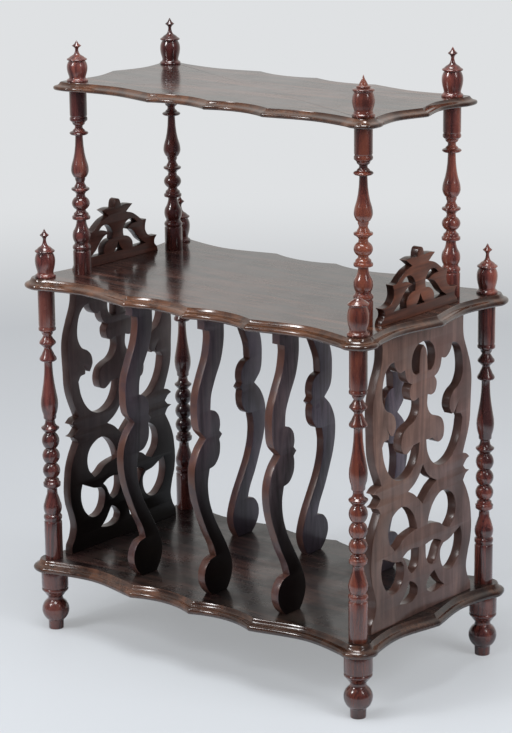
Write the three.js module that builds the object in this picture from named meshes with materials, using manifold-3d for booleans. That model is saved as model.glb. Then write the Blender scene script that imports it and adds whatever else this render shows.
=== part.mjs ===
// A three-tier etagere in turned and fretted wood, built as the joiner builds it: moulded shelves,
// turned feet, columns and finials joined by round tenons, fretted sides and galleries, scroll dividers.
import * as THREE from 'three';
import { mergeVertices } from 'three/addons/utils/BufferGeometryUtils.js';
import Module from 'manifold-3d';

const wasm = await Module();
wasm.setup();

// Driving sizes, in millimetres. The floor is at z = 0, the front faces -Y and the left side is at -X.
const lowerColumnX = 320;
const lowerColumnY = 169.5;
const upperStageSetInX = 32;
const upperStageSetInY = 55;
const bottomShelfTop = 125;
const middleShelfTop = 610;
const topShelfTop = 928;
const bottomShelfThickness = 20;
const middleShelfThickness = 17;
const topShelfThickness = 13;
const fitGap = 0.3;
const cutOverrun = 2;

const upperColumnX = lowerColumnX - upperStageSetInX;
const upperColumnY = lowerColumnY - upperStageSetInY;

// Shelf edges: ears round the columns, hollows between them, and small points along the front and back.
// Each reach runs out from the columns' axes, and each share runs from the shelf's middle to them.
const edgeOverhang = 12;
const lowerShelfEdge = {
  columnX: lowerColumnX,
  columnY: lowerColumnY,
  earRadius: 34,
  earTipRadius: 35,
  sideBumpReach: 35,
  sideHollowReach: 19,
  sideHollowShare: 0.5,
  pointReach: 33.5,
  pointShare: 0.39,
  pointShift: 3,
  outerHollowReach: 14,
  outerHollowShare: 0.7,
  innerHollowReach: 19,
};
const topShelfEdge = {
  columnX: upperColumnX,
  columnY: upperColumnY,
  earRadius: 33,
  earTipRadius: 39.5,
  sideBumpReach: 38,
  sideHollowReach: 22,
  sideHollowShare: 0.48,
  pointReach: 35.5,
  pointShare: 0.4,
  pointShift: 6,
  outerHollowReach: 19.5,
  outerHollowShare: 0.694,
  innerHollowReach: 21.5,
};

// Turned work.
const columnRadius = 15;
const footRadius = 22.5;
const finialRadius = 17.3;
const middleFinialHeight = 80;
const topFinialHeight = 77;
const shortFinialHeight = 66;
const spikeFinialHeight = 63;
const brokenFinialHeight = 57;
const tenonRadius = 8;
const tenonLength = 22;
const shelfTenonLength = 12;

// Fretted sides and galleries. They and the slats stand a little forward of the shelves' middle line.
const rackForward = 5;
const galleryForward = 8;
const sidePanelSetIn = 5.5;
const sidePanelThickness = 16;
const sidePanelEndGap = 14.5;
const sideFretLift = 5;
const gallerySetIn = 9;
const galleryThickness = 14;
const galleryHalfLength = 100;
const galleryHeight = 106;
const galleryDowelRadius = 3;
const galleryDowelReach = 9;
const galleryDowelPitch = 120;

// Scroll slats of the three dividers.
const dividerSpacingShare = 0.472;
const dividerShift = 3;
const slatThickness = 15;
const slatDepth = 94;
const slatReach = 183;

// The longest facet along a fretted curve.
const facetLength = 13;

// Stub tenons on the flat pieces.
const stubThickness = 8;
const stubDepth = 7;
const panelStubWidth = 40;
const panelStubPitch = 156;
const slatStubWidth = 18;

// Facets of the round work, as counts.
const latheSides = 8;
const swellSteps = 2;
const ballSteps = 3;
const rimSteps = 2;
const scallopSteps = 4;
const cornersPerFace = 3;

const sidePanelX = lowerColumnX - sidePanelSetIn;
const sidePanelHalfLength = lowerColumnY - columnRadius - rackForward - sidePanelEndGap;
const galleryX = lowerColumnX - gallerySetIn;
const dividerSpacing = lowerColumnX * dividerSpacingShare;
const lowerStageHeight = middleShelfTop - middleShelfThickness - bottomShelfTop;
const upperStageHeight = topShelfTop - topShelfThickness - middleShelfTop;
const footHeight = bottomShelfTop - bottomShelfThickness;
const boreRadius = tenonRadius + fitGap;

// Where points are set on a corner's ear, in degrees from the side towards the nearer end.
const earAnglesInDegrees = [125, 90, 45, 0, -35];
const earTipInDegrees = 45;

// The rim moulding from the top edge down: inset as a share of the overhang, drop as a share of thickness.
const rimShares = [[1, 0], [0.42, 0.3], [0, 0.68], [0.34, 1]];

// Turned outlines from the bottom up: radius, height and the swell of the stretch that follows.
const ballSwellShare = 0.3;
const footShares = [
  [0.55, 0], [0.57, 0.13], [0.62, 0.153, 0.38], [0.66, 0.48], [0.58, 0.5], [0.56, 0.54], [0.62, 0.56],
  [0.72, 0.586], [0.8, 0.61], [0.86, 0.63], [0.97, 0.652, 0.03], [0.97, 0.688], [0.94, 0.698],
  [0.94, 0.708], [1, 0.713], [1, 1],
];
const lowerColumnShares = [
  [1, 0], [1, 0.137], [0.93, 0.14], [0.93, 0.145], [0.98, 0.147, 0.05], [0.98, 0.162], [0.84, 0.166],
  [0.85, 0.168, 0.14], [0.91, 0.208, 0.02], [0.6, 0.24], [0.56, 0.26], [0.74, 0.266], [0.95, 0.271],
  [0.97, 0.284], [0.82, 0.288], [0.8, 0.296], [0.55, 0.302, 0.43], [0.54, 0.355, 0.43],
  [0.55, 0.41, 0.42], [0.56, 0.468], [0.7, 0.4735], [0.85, 0.479], [1, 0.4845], [1, 0.489],
  [0.72, 0.495], [0.6, 0.501], [0.54, 0.51], [0.55, 0.517], [0.7, 0.522], [0.72, 0.535], [0.86, 0.549],
  [0.93, 0.562], [0.96, 0.576], [0.93, 0.592], [0.83, 0.61], [0.72, 0.631], [0.6, 0.655], [0.5, 0.685],
  [0.46, 0.71], [0.46, 0.729], [0.86, 0.7335], [0.95, 0.737], [0.95, 0.742], [0.86, 0.748],
  [0.72, 0.7545], [0.63, 0.762], [0.5, 0.77], [0.42, 0.777], [0.43, 0.781], [0.62, 0.787],
  [0.8, 0.7925], [0.93, 0.797], [0.9, 0.803], [0.75, 0.809], [0.6, 0.816], [0.46, 0.824], [0.6, 0.831],
  [0.66, 0.837], [0.78, 0.841], [0.95, 0.8445], [0.97, 0.852], [0.9, 0.856], [0.9, 0.86], [0.93, 0.864],
  [0.93, 1],
];
const upperColumnShares = [
  [1, 0], [1, 0.125], [0.93, 0.128], [0.93, 0.133], [0.97, 0.135, 0.06], [0.97, 0.154], [0.8, 0.164],
  [0.8, 0.173, 0.2], [0.8, 0.243], [0.66, 0.257], [0.55, 0.277], [0.52, 0.297], [0.97, 0.3], [1, 0.309],
  [0.97, 0.316], [0.83, 0.319], [0.8, 0.331], [0.58, 0.34], [0.52, 0.348], [0.54, 0.352, 0.44],
  [0.54, 0.42], [0.5, 0.428], [0.47, 0.436], [0.6, 0.445], [0.74, 0.451], [0.97, 0.458], [1, 0.464],
  [0.96, 0.469], [0.68, 0.472], [0.64, 0.481], [0.5, 0.491], [0.46, 0.502], [0.56, 0.514],
  [0.58, 0.526], [0.72, 0.53], [0.74, 0.533, 0.06], [0.96, 0.566, 0.03], [0.83, 0.604], [0.68, 0.629],
  [0.56, 0.658], [0.46, 0.698], [0.42, 0.738], [0.41, 0.754], [0.9, 0.758], [1.02, 0.764],
  [1.02, 0.767], [0.93, 0.772], [0.68, 0.777], [0.64, 0.783], [0.45, 0.791], [0.42, 0.799],
  [0.44, 0.805], [0.66, 0.814], [0.69, 0.821], [0.8, 0.828], [0.95, 0.834], [0.97, 0.842],
  [0.95, 0.849], [0.89, 0.853], [0.89, 0.857], [0.94, 0.862], [0.94, 1],
];
const finialShares = [
  [0.98, 0], [1, 0.015], [0.99, 0.03], [0.93, 0.045], [0.83, 0.065], [0.76, 0.085], [0.72, 0.115],
  [0.76, 0.15], [0.85, 0.187], [0.94, 0.24], [0.975, 0.32], [0.93, 0.42], [0.86, 0.46], [0.78, 0.495],
  [0.77, 0.51], [0.92, 0.525], [0.96, 0.54], [0.9, 0.555], [0.76, 0.57], [0.68, 0.595], [0.63, 0.615],
  [0.36, 0.63], [0.3, 0.66], [0.24, 0.69], [0.2, 0.73], [0.17, 0.82], [0.24, 0.855], [0.44, 0.9],
  [0.2, 0.945], [0.12, 0.975],
];
const spikeFinialShares = [
  [1, 0], [1.02, 0.06], [0.81, 0.15], [0.95, 0.25], [1, 0.37], [0.94, 0.48], [0.81, 0.57], [0.98, 0.64],
  [0.98, 0.665], [0.62, 0.7], [0.6, 0.73], [0.4, 0.77], [0.37, 0.81], [0.24, 0.85], [0.12, 0.9],
  [0.06, 0.94], [0.05, 0.97],
];
const brokenFinialShares = [
  [0.98, 0], [1, 0.023], [0.93, 0.07], [0.76, 0.13], [0.72, 0.18], [0.76, 0.23], [0.85, 0.29],
  [0.95, 0.39], [0.975, 0.5], [0.93, 0.65], [0.86, 0.72], [0.77, 0.79], [0.92, 0.815], [0.96, 0.84],
  [0.9, 0.865], [0.76, 0.89], [0.62, 0.93], [0.4, 0.965], [0.3, 1],
];

// Fretted outlines are lists of smooth stretches that meet at corners. Each point is a share of the
// piece's half length and of its height. A list for a half shape runs down its right side.
const sidePanelHalfShares = [
  [[0.79, 1], [0.8, 0.92], [0.885, 0.857], [0.945, 0.81], [0.97, 0.765], [0.96, 0.69], [0.935, 0.6]],
  [[0.805, 0.503], [0.88, 0.498]],
  [[0.945, 0.483], [0.88, 0.476]],
  [[0.82, 0.458], [0.88, 0.441]],
  [[0.945, 0.435], [0.87, 0.427]],
  [[0.82, 0.407], [0.91, 0.36], [0.965, 0.318], [0.99, 0.273], [1, 0.228], [0.98, 0.183], [0.93, 0.138],
    [0.9, 0.093], [0.94, 0.05], [0.985, 0.03]],
  [[1, 0]],
];
const sideScrollShares = [
  [[0.57, 0.897], [0.65, 0.891], [0.735, 0.867], [0.785, 0.82], [0.78, 0.777], [0.715, 0.743],
    [0.61, 0.726], [0.548, 0.707], [0.526, 0.675]],
  [[0.578, 0.647], [0.63, 0.652]],
  [[0.689, 0.675], [0.66, 0.655]],
  [[0.667, 0.642], [0.75, 0.638]],
  [[0.79, 0.621], [0.755, 0.574], [0.681, 0.531], [0.57, 0.499], [0.422, 0.484], [0.281, 0.49],
    [0.163, 0.514], [0.089, 0.552]],
  [[0.067, 0.591]],
  [[0.185, 0.589], [0.244, 0.576], [0.319, 0.567], [0.393, 0.576], [0.422, 0.6], [0.415, 0.623],
    [0.37, 0.647], [0.289, 0.66], [0.185, 0.67], [0.119, 0.687], [0.081, 0.713]],
  [[0.089, 0.747], [0.17, 0.741], [0.23, 0.747], [0.262, 0.766], [0.262, 0.785]],
  [[0.222, 0.801], [0.281, 0.809], [0.333, 0.827]],
  [[0.363, 0.857], [0.437, 0.852], [0.5, 0.861], [0.546, 0.877]],
];
const sideArchHalfShares = [
  [[0, 0.934], [0.111, 0.928], [0.193, 0.908], [0.23, 0.876], [0.207, 0.844], [0.148, 0.829]],
  [[0.081, 0.831], [0.074, 0.869], [0.052, 0.905], [0, 0.922]],
];
const sideDiamondHalfShares = [
  [[0, 0.51], [0.067, 0.478], [0.156, 0.454]],
  [[0.281, 0.435], [0.17, 0.418], [0.081, 0.396], [0, 0.373]],
];
const sideRingShares = [
  [[0.104, 0.293], [0.126, 0.317], [0.193, 0.353], [0.289, 0.379], [0.4, 0.39], [0.519, 0.381],
    [0.622, 0.358], [0.667, 0.323], [0.644, 0.283]],
  [[0.541, 0.248], [0.444, 0.259], [0.356, 0.278], [0.252, 0.287]],
];
const sideBellShares = [
  [[0.77, 0.236], [0.8, 0.203], [0.785, 0.163], [0.719, 0.126], [0.607, 0.101], [0.504, 0.101],
    [0.407, 0.122], [0.363, 0.156], [0.37, 0.184]],
  [[0.422, 0.201], [0.556, 0.208], [0.667, 0.223]],
];
const sideLeafShares = [
  [[0.067, 0.223], [0.185, 0.229], [0.296, 0.225]],
  [[0.385, 0.212], [0.333, 0.197], [0.296, 0.176], [0.259, 0.156]],
  [[0.207, 0.143], [0.133, 0.152], [0.081, 0.176]],
];
const sideFootShares = [
  [[0.104, 0.058], [0.089, 0.081], [0.156, 0.105]],
  [[0.244, 0.118], [0.296, 0.096], [0.348, 0.075]],
  [[0.444, 0.051], [0.296, 0.043], [0.185, 0.045]],
];
const galleryHalfShares = [
  [[0, 1], [0.045, 0.985], [0.075, 0.93]],
  [[0.085, 0.865], [0.24, 0.88]],
  [[0.38, 0.86], [0.3, 0.81]],
  [[0.22, 0.755], [0.38, 0.709], [0.52, 0.627], [0.61, 0.564]],
  [[0.72, 0.555], [0.69, 0.473], [0.69, 0.382], [0.75, 0.3], [0.84, 0.264]],
  [[0.98, 0.255], [0.92, 0.191], [0.92, 0.127], [0.98, 0.064]],
  [[1, 0]],
];
const galleryEyeShares = [
  [[0.14, 0.375], [0.13, 0.48], [0.19, 0.575], [0.29, 0.625], [0.39, 0.61]],
  [[0.47, 0.55], [0.33, 0.535]],
  [[0.2, 0.48], [0.34, 0.445], [0.45, 0.36], [0.55, 0.255]],
  [[0.69, 0.165]],
  [[0.36, 0.16], [0.36, 0.25], [0.3, 0.325], [0.22, 0.365]],
];
const galleryStemHalfShares = [
  [[0, 0.31], [0.05, 0.215]],
  [[0.11, 0.155]],
];
const slatFootShares = { inner: 0.19, outer: 0.574 };
const slatHeadShares = { inner: 0.176, outer: 0.695 };
const slatShares = [
  [[slatHeadShares.outer, 1]],
  [[slatHeadShares.outer, 0.947]],
  [[0.565, 0.938], [0.557, 0.916], [0.617, 0.852], [0.762, 0.788], [0.885, 0.728], [0.911, 0.67],
    [0.865, 0.606]],
  [[0.688, 0.567], [0.861, 0.531], [0.984, 0.478], [1, 0.424], [0.942, 0.36], [0.831, 0.3],
    [0.679, 0.231], [0.536, 0.178]],
  [[0.465, 0.137], [0.636, 0.128], [0.756, 0.099], [0.781, 0.064], [0.7, 0.026]],
  [[slatFootShares.outer, 0]],
  [[slatFootShares.inner, 0], [0.115, 0.021], [0.055, 0.049], [0.034, 0.081], [0.083, 0.12],
    [0.186, 0.167], [0.339, 0.221], [0.514, 0.285], [0.625, 0.349], [0.651, 0.407]],
  [[0.603, 0.456], [0.464, 0.463], [0.344, 0.493], [0.319, 0.531]],
  [[0.338, 0.55]],
  [[0.263, 0.565]],
  [[0.335, 0.58], [0.312, 0.6], [0.341, 0.632], [0.434, 0.653]],
  [[0.561, 0.662], [0.535, 0.713], [0.423, 0.767], [0.269, 0.827], [0.187, 0.895], [0.18, 0.959]],
  [[slatHeadShares.inner, 1]],
];

const sides = { left: -1, right: 1 };
const ends = { front: -1, back: 1 };
const dividers = { left: -1, middle: 0, right: 1 };

// Finishes: one colour for each kind of wood surface that the photo shows.
const finishes = {
  board: { color: 0x4a2f26, roughness: 0.18, metalness: 0 },
  turned: { color: 0x5a2a1f, roughness: 0.22, metalness: 0 },
  fretted: { color: 0x4c352d, roughness: 0.38, metalness: 0 },
  dowel: { color: 0x8a6a48, roughness: 0.6, metalness: 0 },
};

// Welds shared corners and drops faces that have no area, so that each geometry is a closed shell.
function welded(geometry) {
  for (const name of ['normal', 'uv']) {
    if (geometry.hasAttribute(name)) geometry.deleteAttribute(name);
  }
  const shell = mergeVertices(geometry);
  const corners = Array.from(shell.index.array);
  const kept = [];
  for (let start = 0; start < corners.length; start += cornersPerFace) {
    const face = corners.slice(start, start + cornersPerFace);
    if (new Set(face).size === cornersPerFace) kept.push(...face);
  }
  shell.setIndex(kept);
  return shell;
}

function toSolid(geometry) {
  const shell = welded(geometry);
  return new wasm.Manifold(new wasm.Mesh({
    numProp: 3,
    vertProperties: new Float32Array(shell.attributes.position.array),
    triVerts: new Uint32Array(shell.index.array),
  }));
}

function toGeometry(solid) {
  const { vertProperties, triVerts } = solid.getMesh();
  const geometry = new THREE.BufferGeometry();
  geometry.setAttribute('position', new THREE.BufferAttribute(vertProperties, 3));
  geometry.setIndex(new THREE.BufferAttribute(triVerts, 1));
  return geometry;
}

function piece(name, geometry, finish) {
  const mesh = new THREE.Mesh(welded(geometry), new THREE.MeshStandardMaterial(finishes[finish]));
  mesh.name = name;
  mesh.geometry.computeVertexNormals();
  return mesh;
}

function placed(mesh, x, y, z) {
  mesh.position.set(x, y, z);
  return mesh;
}

function boxAt(width, depth, height, x, y, z) {
  return new THREE.BoxGeometry(width, depth, height).translate(x, y, z);
}

function uprightCylinder(radius, height, x, y, z) {
  return new THREE.CylinderGeometry(radius, radius, height, latheSides)
    .rotateX(Math.PI / 2)
    .translate(x, y, z);
}

// One smooth curve through each stretch, on to the first point of the stretch after it.
function smoothPoints(points) {
  if (points.length < 3) return points.slice(0, 1);
  const curve = new THREE.CatmullRomCurve3(
    points.map((point) => new THREE.Vector3(point.x, point.y, 0)), false, 'centripetal');
  const count = Math.max(points.length - 1, Math.round(curve.getLength() / facetLength));
  return curve.getSpacedPoints(count)
    .slice(0, -1)
    .map((point) => new THREE.Vector2(point.x, point.y));
}

function scaledStretches(shares, across, up) {
  return shares.map((stretch) => stretch.map(
    ([acrossShare, upShare]) => new THREE.Vector2(acrossShare * across, upShare * up)));
}

function tracedLoop(shares, across, up) {
  const stretches = scaledStretches(shares, across, up);
  return stretches.flatMap((stretch, index) => {
    const next = stretches[(index + 1) % stretches.length];
    return smoothPoints([...stretch, next[0]]);
  });
}

function mirroredLoop(shares, across, up) {
  const stretches = scaledStretches(shares, across, up);
  const right = stretches.flatMap((stretch, index) => {
    const next = stretches[index + 1];
    return next ? smoothPoints([...stretch, next[0]]) : [...smoothPoints(stretch), stretch.at(-1)];
  });
  const isNew = (point, index) => !right.slice(0, index).some((other) => other.equals(point));
  const distinct = right.filter(isNew);
  const left = distinct.filter((point) => point.x > 0).reverse();
  return [...distinct, ...left.map((point) => new THREE.Vector2(-point.x, point.y))];
}

function flippedLoop(points) {
  return points.map((point) => new THREE.Vector2(-point.x, point.y));
}

// A plate that stands on edge: its outline lies in Y and Z and its thickness runs along X.
function standingPlate(outline, thickness) {
  const shape = new THREE.Shape(outline);
  const plate = new THREE.ExtrudeGeometry(shape, { depth: thickness, bevelEnabled: false });
  plate.translate(0, 0, -thickness / 2);
  plate.applyMatrix4(new THREE.Matrix4().makeBasis(
    new THREE.Vector3(0, 1, 0), new THREE.Vector3(0, 0, 1), new THREE.Vector3(1, 0, 0)));
  return plate;
}

function frettedPlate(outline, holes, thickness) {
  return cutFrom(standingPlate(outline, thickness),
    holes.map((hole) => standingPlate(hole, thickness + 2 * cutOverrun)));
}

// A turned outline in real sizes, with rings, balls and vases rounded by a sine swell.
function turnedPoints(shares, radius, height) {
  return shares.flatMap(([across, up, swell = 0], index) => {
    const next = shares[index + 1] ?? [across, up];
    const steps = swell > ballSwellShare ? ballSteps : swellSteps;
    const count = swell === 0 ? 1 : steps;
    return Array.from({ length: count }, (_, step) => {
      const along = step / count;
      const share = THREE.MathUtils.lerp(across, next[0], along) + swell * Math.sin(Math.PI * along);
      return new THREE.Vector2(share * radius, THREE.MathUtils.lerp(up, next[1], along) * height);
    });
  });
}

function turned(points) {
  return new THREE.LatheGeometry(points, latheSides).rotateX(Math.PI / 2);
}

function foot() {
  return turned([
    new THREE.Vector2(0, 0),
    ...turnedPoints(footShares, footRadius, footHeight),
    new THREE.Vector2(tenonRadius, footHeight),
    new THREE.Vector2(tenonRadius, bottomShelfTop + tenonLength - fitGap),
    new THREE.Vector2(0, bottomShelfTop + tenonLength - fitGap),
  ]);
}

function lowerColumn() {
  return turned([
    new THREE.Vector2(0, tenonLength),
    new THREE.Vector2(boreRadius, tenonLength),
    new THREE.Vector2(boreRadius, 0),
    ...turnedPoints(lowerColumnShares, columnRadius, lowerStageHeight),
    new THREE.Vector2(boreRadius, lowerStageHeight),
    new THREE.Vector2(boreRadius, lowerStageHeight - tenonLength),
    new THREE.Vector2(0, lowerStageHeight - tenonLength),
  ]);
}

function upperColumn() {
  return turned([
    new THREE.Vector2(0, -shelfTenonLength),
    new THREE.Vector2(tenonRadius, -shelfTenonLength),
    new THREE.Vector2(tenonRadius, 0),
    ...turnedPoints(upperColumnShares, columnRadius, upperStageHeight),
    new THREE.Vector2(boreRadius, upperStageHeight),
    new THREE.Vector2(boreRadius, upperStageHeight - tenonLength),
    new THREE.Vector2(0, upperStageHeight - tenonLength),
  ]);
}

// A finial's tenon goes down through its shelf, of the given thickness, into the column below.
function finial(shares, height, shelfThickness) {
  const tenonEnd = fitGap - shelfThickness - tenonLength;
  return turned([
    new THREE.Vector2(0, tenonEnd),
    new THREE.Vector2(tenonRadius, tenonEnd),
    new THREE.Vector2(tenonRadius, 0),
    ...turnedPoints(shares, finialRadius, height),
    new THREE.Vector2(0, height),
  ]);
}

function cornerEar(edge, side, end) {
  return earAnglesInDegrees.map((degrees) => {
    const radius = degrees === earTipInDegrees ? edge.earTipRadius : edge.earRadius;
    const angle = THREE.MathUtils.degToRad(degrees);
    return new THREE.Vector3(
      side * (edge.columnX + radius * Math.cos(angle)), end * (edge.columnY + radius * Math.sin(angle)), 0);
  });
}

// From a point of the front or back, round the ear of its corner, to the bump in the middle of the side.
function quarterRun(edge, side, end) {
  const nodes = [
    new THREE.Vector3(
      side * edge.columnX * edge.pointShare + edge.pointShift, end * (edge.columnY + edge.pointReach), 0),
    new THREE.Vector3(side * edge.columnX * edge.outerHollowShare + edge.pointShift,
      end * (edge.columnY + edge.outerHollowReach), 0),
    ...cornerEar(edge, side, end),
    new THREE.Vector3(
      side * (edge.columnX + edge.sideHollowReach), end * edge.columnY * edge.sideHollowShare, 0),
    new THREE.Vector3(side * (edge.columnX + edge.sideBumpReach), 0, 0),
  ];
  return new THREE.CatmullRomCurve3(nodes, false, 'centripetal')
    .getPoints((nodes.length - 1) * rimSteps)
    .map((point) => new THREE.Vector2(point.x, point.y));
}

// The two hollows between the three points of one end, from left to right.
function innerHollows(edge, end) {
  const pointX = edge.columnX * edge.pointShare;
  const pointY = end * (edge.columnY + edge.pointReach);
  const hollowDepth = end * (edge.pointReach - edge.innerHollowReach);
  return [-1, 0].flatMap((start) => {
    const from = new THREE.Vector2(start * pointX + edge.pointShift, pointY);
    const to = from.clone().setX(from.x + pointX);
    const pull = new THREE.Vector2((from.x + to.x) / 2, pointY - 2 * hollowDepth);
    return new THREE.QuadraticBezierCurve(from, pull, to).getPoints(scallopSteps).slice(0, -1);
  });
}

function sideStretch(edge, side) {
  return [...quarterRun(edge, side, ends.front).slice(0, -1), ...quarterRun(edge, side, ends.back).reverse()];
}

// A shelf's rim seen from above, counter-clockwise from the left point of the front. Each stretch drops
// its last point, which is the first of the next.
function shelfOutline(edge) {
  const rightSide = sideStretch(edge, sides.right);
  const leftSide = sideStretch(edge, sides.left).reverse();
  const back = [...innerHollows(edge, ends.back), rightSide.at(-1)].reverse();
  return [
    ...innerHollows(edge, ends.front),
    ...rightSide.slice(0, -1),
    ...back.slice(0, -1),
    ...leftSide.slice(0, -1),
  ];
}

function insetOutline(outline, inset) {
  const inward = (from, to) => new THREE.Vector2(from.y - to.y, to.x - from.x).normalize();
  return outline.map((point, index) => {
    const before = inward(outline.at(index - 1), point);
    const after = inward(point, outline[(index + 1) % outline.length]);
    const bisector = before.clone().add(after).normalize();
    return point.clone().addScaledVector(bisector, inset / bisector.dot(before));
  });
}

// The rim's rings are joined into one shell from the flat top down to the flat underside.
function mouldedBoard(outline, thickness) {
  const rings = rimShares.map(([inset, drop]) => ({
    points: insetOutline(outline, inset * edgeOverhang),
    z: -drop * thickness,
  }));
  const count = outline.length;
  const corners = rings.flatMap(({ points, z }) => points.flatMap(({ x, y }) => [x, y, z]));
  const faces = [];
  for (let ring = 0; ring < rings.length - 1; ring += 1) {
    for (let index = 0; index < count; index += 1) {
      const next = (index + 1) % count;
      const above = ring * count;
      const below = above + count;
      faces.push(above + index, below + index, below + next);
      faces.push(above + index, below + next, above + next);
    }
  }
  const lowest = (rings.length - 1) * count;
  for (const [a, b, c] of THREE.ShapeUtils.triangulateShape(rings[0].points, [])) {
    faces.push(a, b, c);
  }
  for (const [a, b, c] of THREE.ShapeUtils.triangulateShape(rings.at(-1).points, [])) {
    faces.push(lowest + c, lowest + b, lowest + a);
  }
  const board = new THREE.BufferGeometry();
  board.setAttribute('position', new THREE.Float32BufferAttribute(corners, 3));
  board.setIndex(faces);
  return board;
}

function cutFrom(geometry, cutters) {
  return toGeometry(cutters.reduce((solid, cutter) => solid.subtract(toSolid(cutter)), toSolid(geometry)));
}

function joinedTo(geometry, extras) {
  return toGeometry(extras.reduce((solid, extra) => solid.add(toSolid(extra)), toSolid(geometry)));
}

function signedPlaces(x, y) {
  return Object.values(sides).flatMap((side) => Object.values(ends).map((end) => [side * x, end * y]));
}

// Cutters for a shelf whose top is at z = 0. Each is centred on the face that it cuts.
function boresAt(x, y, shelfThickness) {
  const height = 2 * (shelfThickness + cutOverrun);
  return signedPlaces(x, y).map(([atX, atY]) => uprightCylinder(boreRadius, height, atX, atY, 0));
}

function stubMortises(level, slatPadShares) {
  const height = 2 * (stubDepth + fitGap);
  const thickness = stubThickness + 2 * fitGap;
  const cutAt = (width, x, y) => boxAt(
    thickness, width + 2 * fitGap, height, x, y - rackForward, level);
  const panelCuts = signedPlaces(sidePanelX, panelStubPitch / 2).map(
    ([x, y]) => cutAt(panelStubWidth, x, y));
  const slatCuts = Object.values(dividers).flatMap((divider) => Object.values(ends).map(
    (end) => cutAt(slatStubWidth, dividerX(divider), end * slatStubY(slatPadShares))));
  return [...panelCuts, ...slatCuts];
}

function dividerX(divider) {
  return dividerShift + divider * dividerSpacing;
}

// A slat's stubs stand in the middle of its foot and of its top pad.
function slatStubY({ inner, outer }) {
  return slatReach - slatDepth + slatDepth * (inner + outer) / 2;
}

function dowelHole(x, y) {
  return uprightCylinder(galleryDowelRadius + fitGap, 2 * (galleryDowelReach + fitGap), x, y, 0);
}

function bottomShelf() {
  return cutFrom(mouldedBoard(shelfOutline(lowerShelfEdge), bottomShelfThickness), [
    ...boresAt(lowerColumnX, lowerColumnY, bottomShelfThickness),
    ...stubMortises(0, slatFootShares),
  ]);
}

function middleShelf() {
  const tenonHoles = signedPlaces(upperColumnX, upperColumnY).map(
    ([x, y]) => uprightCylinder(boreRadius, 2 * (shelfTenonLength + fitGap), x, y, 0));
  const dowelHoles = signedPlaces(galleryX, galleryDowelPitch / 2).map(
    ([x, y]) => dowelHole(x, y - galleryForward));
  return cutFrom(mouldedBoard(shelfOutline(lowerShelfEdge), middleShelfThickness), [
    ...boresAt(lowerColumnX, lowerColumnY, middleShelfThickness),
    ...tenonHoles,
    ...dowelHoles,
    ...stubMortises(-middleShelfThickness, slatHeadShares),
  ]);
}

function topShelf() {
  return cutFrom(mouldedBoard(shelfOutline(topShelfEdge), topShelfThickness),
    boresAt(upperColumnX, upperColumnY, topShelfThickness));
}

// Stub tenons at the foot and the head of a standing plate, at the given places along Y.
function stubs(width, footPlaces, headPlaces) {
  const at = (y, z) => boxAt(stubThickness, width, 2 * stubDepth, 0, y, z);
  return [
    ...footPlaces.map((y) => at(y, 0)),
    ...headPlaces.map((y) => at(y, lowerStageHeight)),
  ];
}

function sidePanel() {
  const traced = (shares) => tracedLoop(shares, sidePanelHalfLength, lowerStageHeight);
  const mirrored = (shares) => mirroredLoop(shares, sidePanelHalfLength, lowerStageHeight);
  const pairs = [sideScrollShares, sideRingShares, sideBellShares, sideLeafShares, sideFootShares]
    .map(traced)
    .flatMap((loop) => [loop, flippedLoop(loop)]);
  const openings = [...pairs, mirrored(sideArchHalfShares), mirrored(sideDiamondHalfShares)];
  const holes = openings.map((loop) => loop.map(({ x, y }) => new THREE.Vector2(x, y + sideFretLift)));
  const plate = frettedPlate(mirrored(sidePanelHalfShares), holes, sidePanelThickness);
  const places = [-panelStubPitch / 2, panelStubPitch / 2];
  return joinedTo(plate, stubs(panelStubWidth, places, places));
}

function gallery() {
  const eye = tracedLoop(galleryEyeShares, galleryHalfLength, galleryHeight);
  const stemHole = mirroredLoop(galleryStemHalfShares, galleryHalfLength, galleryHeight);
  const outline = mirroredLoop(galleryHalfShares, galleryHalfLength, galleryHeight);
  const plate = frettedPlate(outline, [eye, flippedLoop(eye), stemHole], galleryThickness);
  return cutFrom(plate, [-galleryDowelPitch / 2, galleryDowelPitch / 2].map((y) => dowelHole(0, y)));
}

// The outline is drawn for the back slat, whose outer edge faces the back. The front slat is its mirror.
function scrollSlat(end) {
  const loop = tracedLoop(slatShares, slatDepth, lowerStageHeight)
    .map((point) => new THREE.Vector2(end * (point.x + slatReach - slatDepth), point.y));
  const plate = standingPlate(loop, slatThickness);
  const footPlace = end * slatStubY(slatFootShares);
  const headPlace = end * slatStubY(slatHeadShares);
  return joinedTo(plate, stubs(slatStubWidth, [footPlace], [headPlace]));
}

// The pieces, each at its own place.
const etagere = new THREE.Group();

etagere.add(placed(piece('bottom_shelf', bottomShelf(), 'board'), 0, 0, bottomShelfTop));
etagere.add(placed(piece('middle_shelf', middleShelf(), 'board'), 0, 0, middleShelfTop));
etagere.add(placed(piece('top_shelf', topShelf(), 'board'), 0, 0, topShelfTop));

// Three of the front finials differ: one is shorter, one has a plain spike and one has lost its tip.
const oddMiddleFinials = { front_right: [brokenFinialShares, brokenFinialHeight] };
const oddTopFinials = {
  front_left: [finialShares, shortFinialHeight],
  front_right: [spikeFinialShares, spikeFinialHeight],
};

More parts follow.
